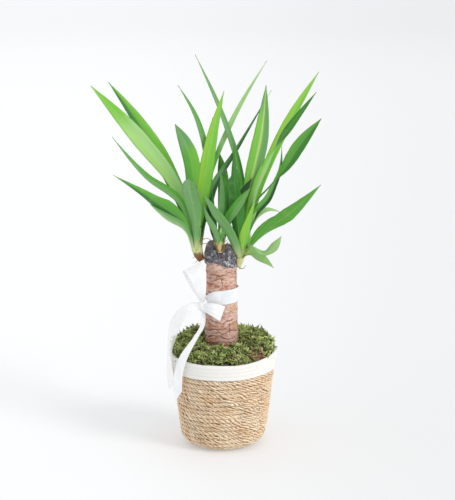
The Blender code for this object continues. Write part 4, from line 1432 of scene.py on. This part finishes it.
def addLeaf(body, shoot, name, row):
    azimuth, rootHeight, bends, width, peak, taper, root, twist, tones = row
    values = leafValues
    azimuth = math.radians(azimuth)
    outward = Vector((math.cos(azimuth), math.sin(azimuth), 0))
    stations, cells = values["stations"], values["cells"]
    foot = rootHeight - values["sheath"]
    start = stemAxis(shoot, foot) + outward * max(1.0, stemRadius(shoot, foot) - values["rootDepth"])
    path = smoothPath((start,) + bends, stations)
    across = Vector((-math.sin(azimuth), math.cos(azimuth), 0))
    seen = -1 if math.sin(azimuth) > 0 else 1      # which way the blade's width runs, seen from the front
    start, end = values["lateTwists"].get(name, values["twistSpan"])
    seed = sum(ord(letter) for letter in shoot + name)
    first = len(body["points"])
    run = 0.0
    lifts = [(2 * cell / cells - 1, 1) for cell in range(cells + 1)]
    lifts += [(u, -1) for u, layer in reversed(lifts)]
    for step, point in enumerate(path):
        t = step / stations
        along = alongAt(path, step)
        across = (across - along * across.dot(along)).normalized()
        turn = math.radians(twist) * smooth(start, end, t)
        face = along.cross(across)
        side = across * math.cos(turn) + face * math.sin(turn)
        face = along.cross(side)
        half = max(width * leafShare(t, peak, taper, root), values["tipWidth"]) / 2
        rise = (values["rootFold"] + (values["tipFold"] - values["rootFold"]) * min(1.0, 2 * t)) * half * 2
        if step:
            run += (point - path[step - 1]).length
        for u, layer in lifts:
            ripple = wave(u * 1.3, run / 22, seed) * min(1.0, half / 6) * values["wave"] * 2
            edge = half * (1 + values["raggedness"] * wave(run / 14, u * 3, seed + 5))
            thick = values["thick"] + (values["edgeThick"] - values["thick"]) * u * u
            thick *= min(1.0, half / 2.5)
            channel = rise * (abs(u) ** 1.4 - 0.5)
            spot = point + side * edge * u + face * (channel + ripple + layer * thick / 2)
            addPoint(body, spot, leafTone(shoot, tones, t, u * seen, spot.z), u, run, seed % 97)
    around = len(lifts)
    addFaces(body, first, ringFaces(stations + 1, around))
    last = stations * around
    for cell in range(cells):
        under = around - 1 - cell                  # the same place on the blade's under side
        addFaces(body, first, [(cell + 1, cell, under, under - 1),
                               (last + cell, last + cell + 1, last + under - 1, last + under)])


def addStem(body, shoot):
    stem = stemPoints[shoot]
    values = leafValues
    rows, around = values["stemRows"], values["stemAround"]
    path = smoothPath([row[:3] for row in stem], rows)
    first = len(body["points"])
    heel = values["heels"][shoot]
    table = values["tones"]
    for step, point in enumerate(path):
        along = alongAt(path, step)
        side = along.cross(Vector((0, 1, 0))).normalized()
        depth = along.cross(side)
        share = step / rows * (len(stem) - 1)
        low = min(int(share), len(stem) - 2)
        radius = stem[low][3] + (stem[low + 1][3] - stem[low][3]) * smooth(0, 1, share - low)
        for angle in turns(around):
            spot = point + (side * math.cos(angle) + depth * math.sin(angle)) * radius
            sheath = 0.55 * abs(math.sin(angle * 2.5 + point.z / 9)) - 0.3
            rough = noise.noise(spot / 5)
            scaly = 0.5 * rough * (1 - smooth(heel, heel + 8, spot.z))
            spot += (spot - point).normalized() * (sheath + scaly)
            color = table["cream"].lerp(table["fresh"], smooth(*values["greens"][shoot], spot.z + 6 * rough))
            scarred = 1 - smooth(heel - 2, heel + 4, spot.z + 5 * rough)
            addPoint(body, spot, color.lerp(table["brown"], scarred), 0.5, point.z, 3)
    addFaces(body, first, [face[::-1] for face in ringFaces(rows + 1, around)])
    last = rows * around
    addFaces(body, first, [range(around), range(last + around - 1, last - 1, -1)])


def paintLeaf(graph):
    values = leafValues
    tone = graph.attribute("tone", "Color")
    across, run, seed = graph.attributes("across", "run", "seed")
    vein = graph.noise(graph.vector(across * 7, run * 9, seed), 1.0, 4, 0.6)
    fine = graph.noise(graph.vector(across * 26, run * 14, seed), 1.0, 2)
    blotch = graph.noise(graph.place(), 42, 2)
    middle = across.math("ABSOLUTE", across)
    color = graph.blend(vein.step(0.5, 0.74) * 0.35, tone, values["veinLight"], "SOFT_LIGHT")
    color = graph.blend(vein.step(0.5, 0.28) * 0.3, color, values["veinDark"], "MULTIPLY")
    color = graph.layers(
        values, color,
        (blotch.step(0.55, 0.75) * 0.15, "blotch"),
        ((1 - middle.step(0.02, 0.12)) * 0.14, "midrib"),
        (middle.step(0.9, 0.99) * 0.3, "margin"),
    )
    return {"Base Color": color, "Roughness": 0.36 + vein * 0.2, "bump": (vein + fine * 0.6, 0.25, 0.0004)}


def addShoots():
    leaf = makeMaterial("leaf", paintLeaf, 0.35)
    names = {"shoot_left": "leavesLeft", "shoot_right": "leavesRight", "shoot_centre": "leavesCentre"}
    for shoot, rows in leafRows.items():
        body = {"points": [], "colors": [], "across": [], "run": [], "seed": [], "faces": []}
        addStem(body, shoot)
        for name, row in rows.items():
            addLeaf(body, shoot, name, row)
        mesh = newMesh(names[shoot], body["points"], body["faces"])
        setColors(mesh, "tone", body["colors"])
        for key in ("across", "run", "seed"):
            setAttribute(mesh, key, body[key])
        addPiece(names[shoot], mesh, leaf, "leaf", shoot)
        print(names[shoot], len(rows), "leaves")


addShoots()
print("shoots grown")


# Ribbon: plain satin strips between pairs of edges, pleated where the knot gathers them
ribbonValues = {
    "bandRadius": 29.9,
    "bandWidth": 26,
    "bandHeight": 274,
    "bandTilt": 2.5,
    "bandAround": 120,
    "bandPleat": 1.1,
    "fold": 0.35,
    "gatherSpan": 0.42,           # radians on each side of the knot that it gathers
    "gatherDrop": 4,
    "gatherShare": 0.35,
    "knot": (-34.5, -17, 258),
    "knotRadii": (8, 8, 13),
    "knotRows": 20,
    "knotAround": 44,
    "knotPleat": 0.07,
    "thick": 0.35,
    "stations": 56,
    "cells": 12,
    "pleats": 3,
    "pleatHeight": 1.5,
    "pleatReach": 15,
    "cup": 0.9,
    "cupReach": 40,
    "crease": 0.5,
    # the loose strips' satin, painted paler than the band's as a lit copy, and its painted shade
    "white": tint(254, 254, 255),
    "shade": tint(244, 247, 250),
    # the band's satin: a darker, painted-shade copy of the same white, and its painted shade
    "bandShadedWhite": tint(244, 246, 248),
    "bandPaintedShade": tint(222, 230, 237),
    "sheer": 0.36,                # how much of the left tail's cloth stops the light
    "strips": {
        "ribbonLoop": (
            ((-37, -20, 260), (-50, -34, 290), (-64, -36, 318), (-70, -28, 322), (-60, -20, 297),
             (-38, -18, 262)),
            ((-32, -24, 266), (-29, -38, 300), (-32, -40, 332), (-39, -31, 339), (-39, -24, 312),
             (-35, -20, 268)),
        ),
        "ribbonShortEnd": (
            ((-34, -24, 263), (-14, -37, 266), (4, -38, 261)),
            ((-34, -24, 249), (-17, -37, 241), (-5, -38, 233)),
        ),
        "ribbonFrontTail": (
            ((-38, -18, 252), (-40, -34, 226), (-51, -48, 209), (-76, -73, 178), (-86, -66, 145),
             (-84, -61, 94)),
            ((-33, -20, 252), (-32, -38, 227), (-43, -54, 209), (-60, -82, 183), (-70, -76, 149),
             (-72, -71, 115)),
        ),
        "ribbonLeftTail": (
            ((-37, -18, 264), (-59, -18, 262), (-82, -14, 246), (-93, -12, 227), (-99, -18, 175),
             (-100, -20, 135), (-97, -26, 107)),
            ((-37, -20, 251), (-55, -28, 249), (-69, -36, 236), (-79, -42, 214), (-90, -46, 180),
             (-89, -46, 149), (-87, -48, 120)),
        ),
    },
}


def thicken(mesh, thickness):
    item = addObject(mesh.name + "Form", mesh)
    solidify = item.modifiers.new("Thickness", "SOLIDIFY")
    solidify.thickness = thickness * mm
    solidify.offset = 0
    result = evaluated(item)
    bpy.data.objects.remove(item, do_unlink=True)
    return result


def stripMesh(name, edges, looped):
    values = ribbonValues
    stations, cells = values["stations"], values["cells"]
    left, right = [smoothPath(edge, stations) for edge in edges]
    middles = [first.lerp(second, 0.5) for first, second in zip(left, right)]
    length = pathLength(middles)
    points = []
    for step in range(stations + 1):
        normal = (right[step] - left[step]).cross(alongAt(middles, step)).normalized()
        distance = length * step / stations
        gather = math.exp(-distance / values["pleatReach"])
        if looped:
            gather += math.exp(-(length - distance) / values["pleatReach"])
        for cell in range(cells + 1):
            u = cell / cells
            pleat = values["pleatHeight"] * gather * math.cos(2 * math.pi * values["pleats"] * u)
            cup = values["cup"] * (1 - (2 * u - 1) ** 2)
            cup *= math.sin(math.pi * min(1.0, distance / values["cupReach"]))
            crease = values["crease"] * wave(u * 1.4, distance / 26, len(name))
            points.append((left[step].lerp(right[step], u) + normal * (pleat + cup + crease)) * mm)
    mesh = newMesh(name, points, ringFaces(stations + 1, cells + 1, False))
    return mesh, length * mm


def bandMesh():
    values = ribbonValues
    cells, around, x = values["cells"], values["bandAround"], trunkValues["x"]
    knotAngle = math.atan2(values["knot"][1], values["knot"][0] - x)
    points = []
    for cell in range(cells + 1):
        u = cell / cells
        for angle in turns(around):
            gather = math.exp(-(abs(apart(angle, knotAngle)) / values["gatherSpan"]) ** 2)
            middle = values["bandHeight"] + values["bandTilt"] * math.cos(angle)
            middle -= values["gatherDrop"] * gather
            width = values["bandWidth"] * (1 - values["gatherShare"] * gather)
            pleat = values["bandPleat"] * gather * (0.5 + 0.5 * math.cos(2 * math.pi * values["pleats"] * u))
            fold = values["fold"] * (1 + wave(math.cos(angle) * 1.5, math.sin(angle) * 1.5, u * 4))
            radius = values["bandRadius"] + pleat + fold
            points.append(ringPoint(angle, radius, middle + (u - 0.5) * width, x) * mm)
    return newMesh("ribbonBand", points, ringFaces(cells + 1, around))


def knotMesh():
    values = ribbonValues
    rows, around = values["knotRows"], values["knotAround"]
    points = []
    for row in range(rows + 1):
        tilt = math.pi * (row + 0.02) / (rows + 0.04) - math.pi / 2       # just short of the poles
        for angle in turns(around):
            pleat = 1 + values["knotPleat"] * math.cos(9 * angle + 2.5 * tilt) * math.cos(tilt)
            spot = ringPoint(angle, math.cos(tilt) ** 0.7 * pleat, math.sin(tilt))
            spot = Vector([part * radius for part, radius in zip(spot, values["knotRadii"])])
            points.append((Vector(values["knot"]) + spot) * mm)
    faces = ringFaces(rows + 1, around)
    faces.append(tuple(range(around - 1, -1, -1)))
    faces.append(tuple(range(rows * around, (rows + 1) * around)))
    return newMesh("ribbonKnot", points, faces)


def paintSatin(white, shade):
    def paint(graph):
        weave = graph.noise(graph.place((1, 1, 6)), 900, 2)
        drift = graph.noise(graph.place((1, 1, 0.4)), 60, 2)
        # painted shade: soft patches darken the white towards blue-grey, as in folds
        color = graph.blend(drift.step(0.45, 0.7) * 0.7, ribbonValues[white], ribbonValues[shade])
        return {"Base Color": color, "Roughness": 0.3 + weave * 0.12, "bump": (weave, 0.08, 0.0002)}

    return paint


def addRibbon():
    values = ribbonValues
    white = paintSatin("white", "shade")
    satin = makeMaterial("satin", white)
    sheer = makeMaterial("sheerSatin", white, constants={"Alpha": values["sheer"]})
    # the band gets the darker copy of the satin: painted shade where it wraps the cane
    shadedCopy = makeMaterial("backedSatin", paintSatin("bandShadedWhite", "bandPaintedShade"))
    for name, edges in values["strips"].items():
        mesh, length = stripMesh(name, edges, name == "ribbonLoop")
        width = surfaceArea(mesh) / length
        cloth = sheer if name == "ribbonLeftTail" else satin
        item = addPiece(name, thicken(mesh, values["thick"]), cloth, "satin", "ribbon")
    knot = addPiece("ribbonKnot", knotMesh(), satin, "satin")
    mesh = bandMesh()
    length = 2 * math.pi * values["bandRadius"] * mm
    width = surfaceArea(mesh) / length
    band = addPiece("ribbonBand", thicken(mesh, values["thick"]), shadedCopy, "satin")


addRibbon()
print("ribbon tied")


# What stays as modelled, hardly seen: the inner pot and the soil
hiddenTones = {
    "plastic": tint(34, 24, 18),
    "scuff": tint(58, 42, 32),
    "peat": tint(26, 18, 12),
    "crumb": tint(84, 60, 42),
}


def paintPot(graph):
    grain = graph.noise(graph.place((1, 1, 4)), 300, 2)
    color = graph.layers(hiddenTones, "plastic", (grain, "scuff"))
    return {"Base Color": color, "Roughness": 0.42 + grain * 0.15, "bump": (grain, 0.15, 0.0003)}


def paintSoil(graph):
    grain = graph.noise(graph.place(), 380, 5, 0.7)
    color = graph.layers(hiddenTones, "peat", (grain.step(0.35, 0.7), "crumb"))
    return {"Base Color": color, "Roughness": 0.85 + grain * 0.1, "bump": (grain, 0.9, 0.0015)}


for node, name, paint in (("nursery_pot", "potPlastic", paintPot), ("soil", "pottingSoil", paintSoil)):
    nodes[node].data.materials.clear()
    nodes[node].data.materials.append(makeMaterial(name, paint))
print("pot and soil finished")


# Studio: a wide pale floor with a painted glow that lightens the shadows on it and painted shade to the right
# and to the back, even light all round and a soft sun from the right and front
studioValues = {
    "floorRadius": 60,
    "floor": tint(214, 215, 216),
    "floorRight": tint(202, 202, 203),
    "floorGrading": (-0.12, 0.18),        # across this stretch, in metres, painted shade darkens the floor to the right
    "floorFan": 2.4,                      # and further back across a wider one, as lines that fan out
    # the floor's glow: painted light that lightens the shadows on it, dimmer to the right as painted shade
    "glow": (0.91, 0.91, 0.92),
    "glowRight": (0.86, 0.86, 0.865),
    "paintedGlowStrength": 0.33,
    "farGrading": (3.5, 24),              # between these distances painted shade darkens it to the back
    "farShade": 0.075,
    "black": (0.0, 0.0, 0.0),
    "air": (0.97, 0.984, 1.0),
    "airStrength": 0.85,
    "sunFrom": (1.66, -1.12, 1.25),
    "sunStrength": 1.18,
    "sunAngle": 22,
    "sunColor": (1.0, 0.975, 0.94),
}


def paintFloor(graph):
    values = studioValues
    point = graph.place()
    across, back = [graph.add("ShaderNodeSeparateXYZ", {}, {0: point}, axis) for axis in "XY"]
    fan = back.math("MAXIMUM", back, 0.0) + values["floorFan"]
    side = (across / fan).step(*values["floorGrading"])
    far = back.step(*values["farGrading"]) * values["farShade"]
    # painted light and shade: a glow that lightens the floor's shadows, and painted shade to the right and to
    # the back
    color = graph.layers(values, "floor", (side, "floorRight"), (far, "black"))
    glow = graph.layers(values, "glow", (side, "glowRight"), (far, "black"))
    return {"Base Color": color, "Roughness": 0.6, "Emission Color": glow}


def addStudio():
    values = studioValues
    bpy.ops.mesh.primitive_circle_add(vertices=64, radius=values["floorRadius"], fill_type="NGON")
    floor = bpy.context.object
    floor.name = "floor"
    constants = {"Emission Strength": values["paintedGlowStrength"]}
    floor.data.materials.append(makeMaterial("floor", paintFloor, 0.1, constants))
    world = bpy.data.worlds.new("studio")
    world.use_nodes = True
    air = world.node_tree.nodes["Background"].inputs
    air["Color"].default_value = (*values["air"], 1)
    air["Strength"].default_value = values["airStrength"]
    scene.world = world
    data = bpy.data.lights.new("sun", "SUN")
    data.energy = values["sunStrength"]
    data.angle = math.radians(values["sunAngle"])
    data.color = values["sunColor"]
    sun = bpy.data.objects.new("sun", data)
    scene.collection.objects.link(sun)
    sun.rotation_euler = Vector(values["sunFrom"]).to_track_quat("Z", "Y").to_euler()


addStudio()
print("studio lit")
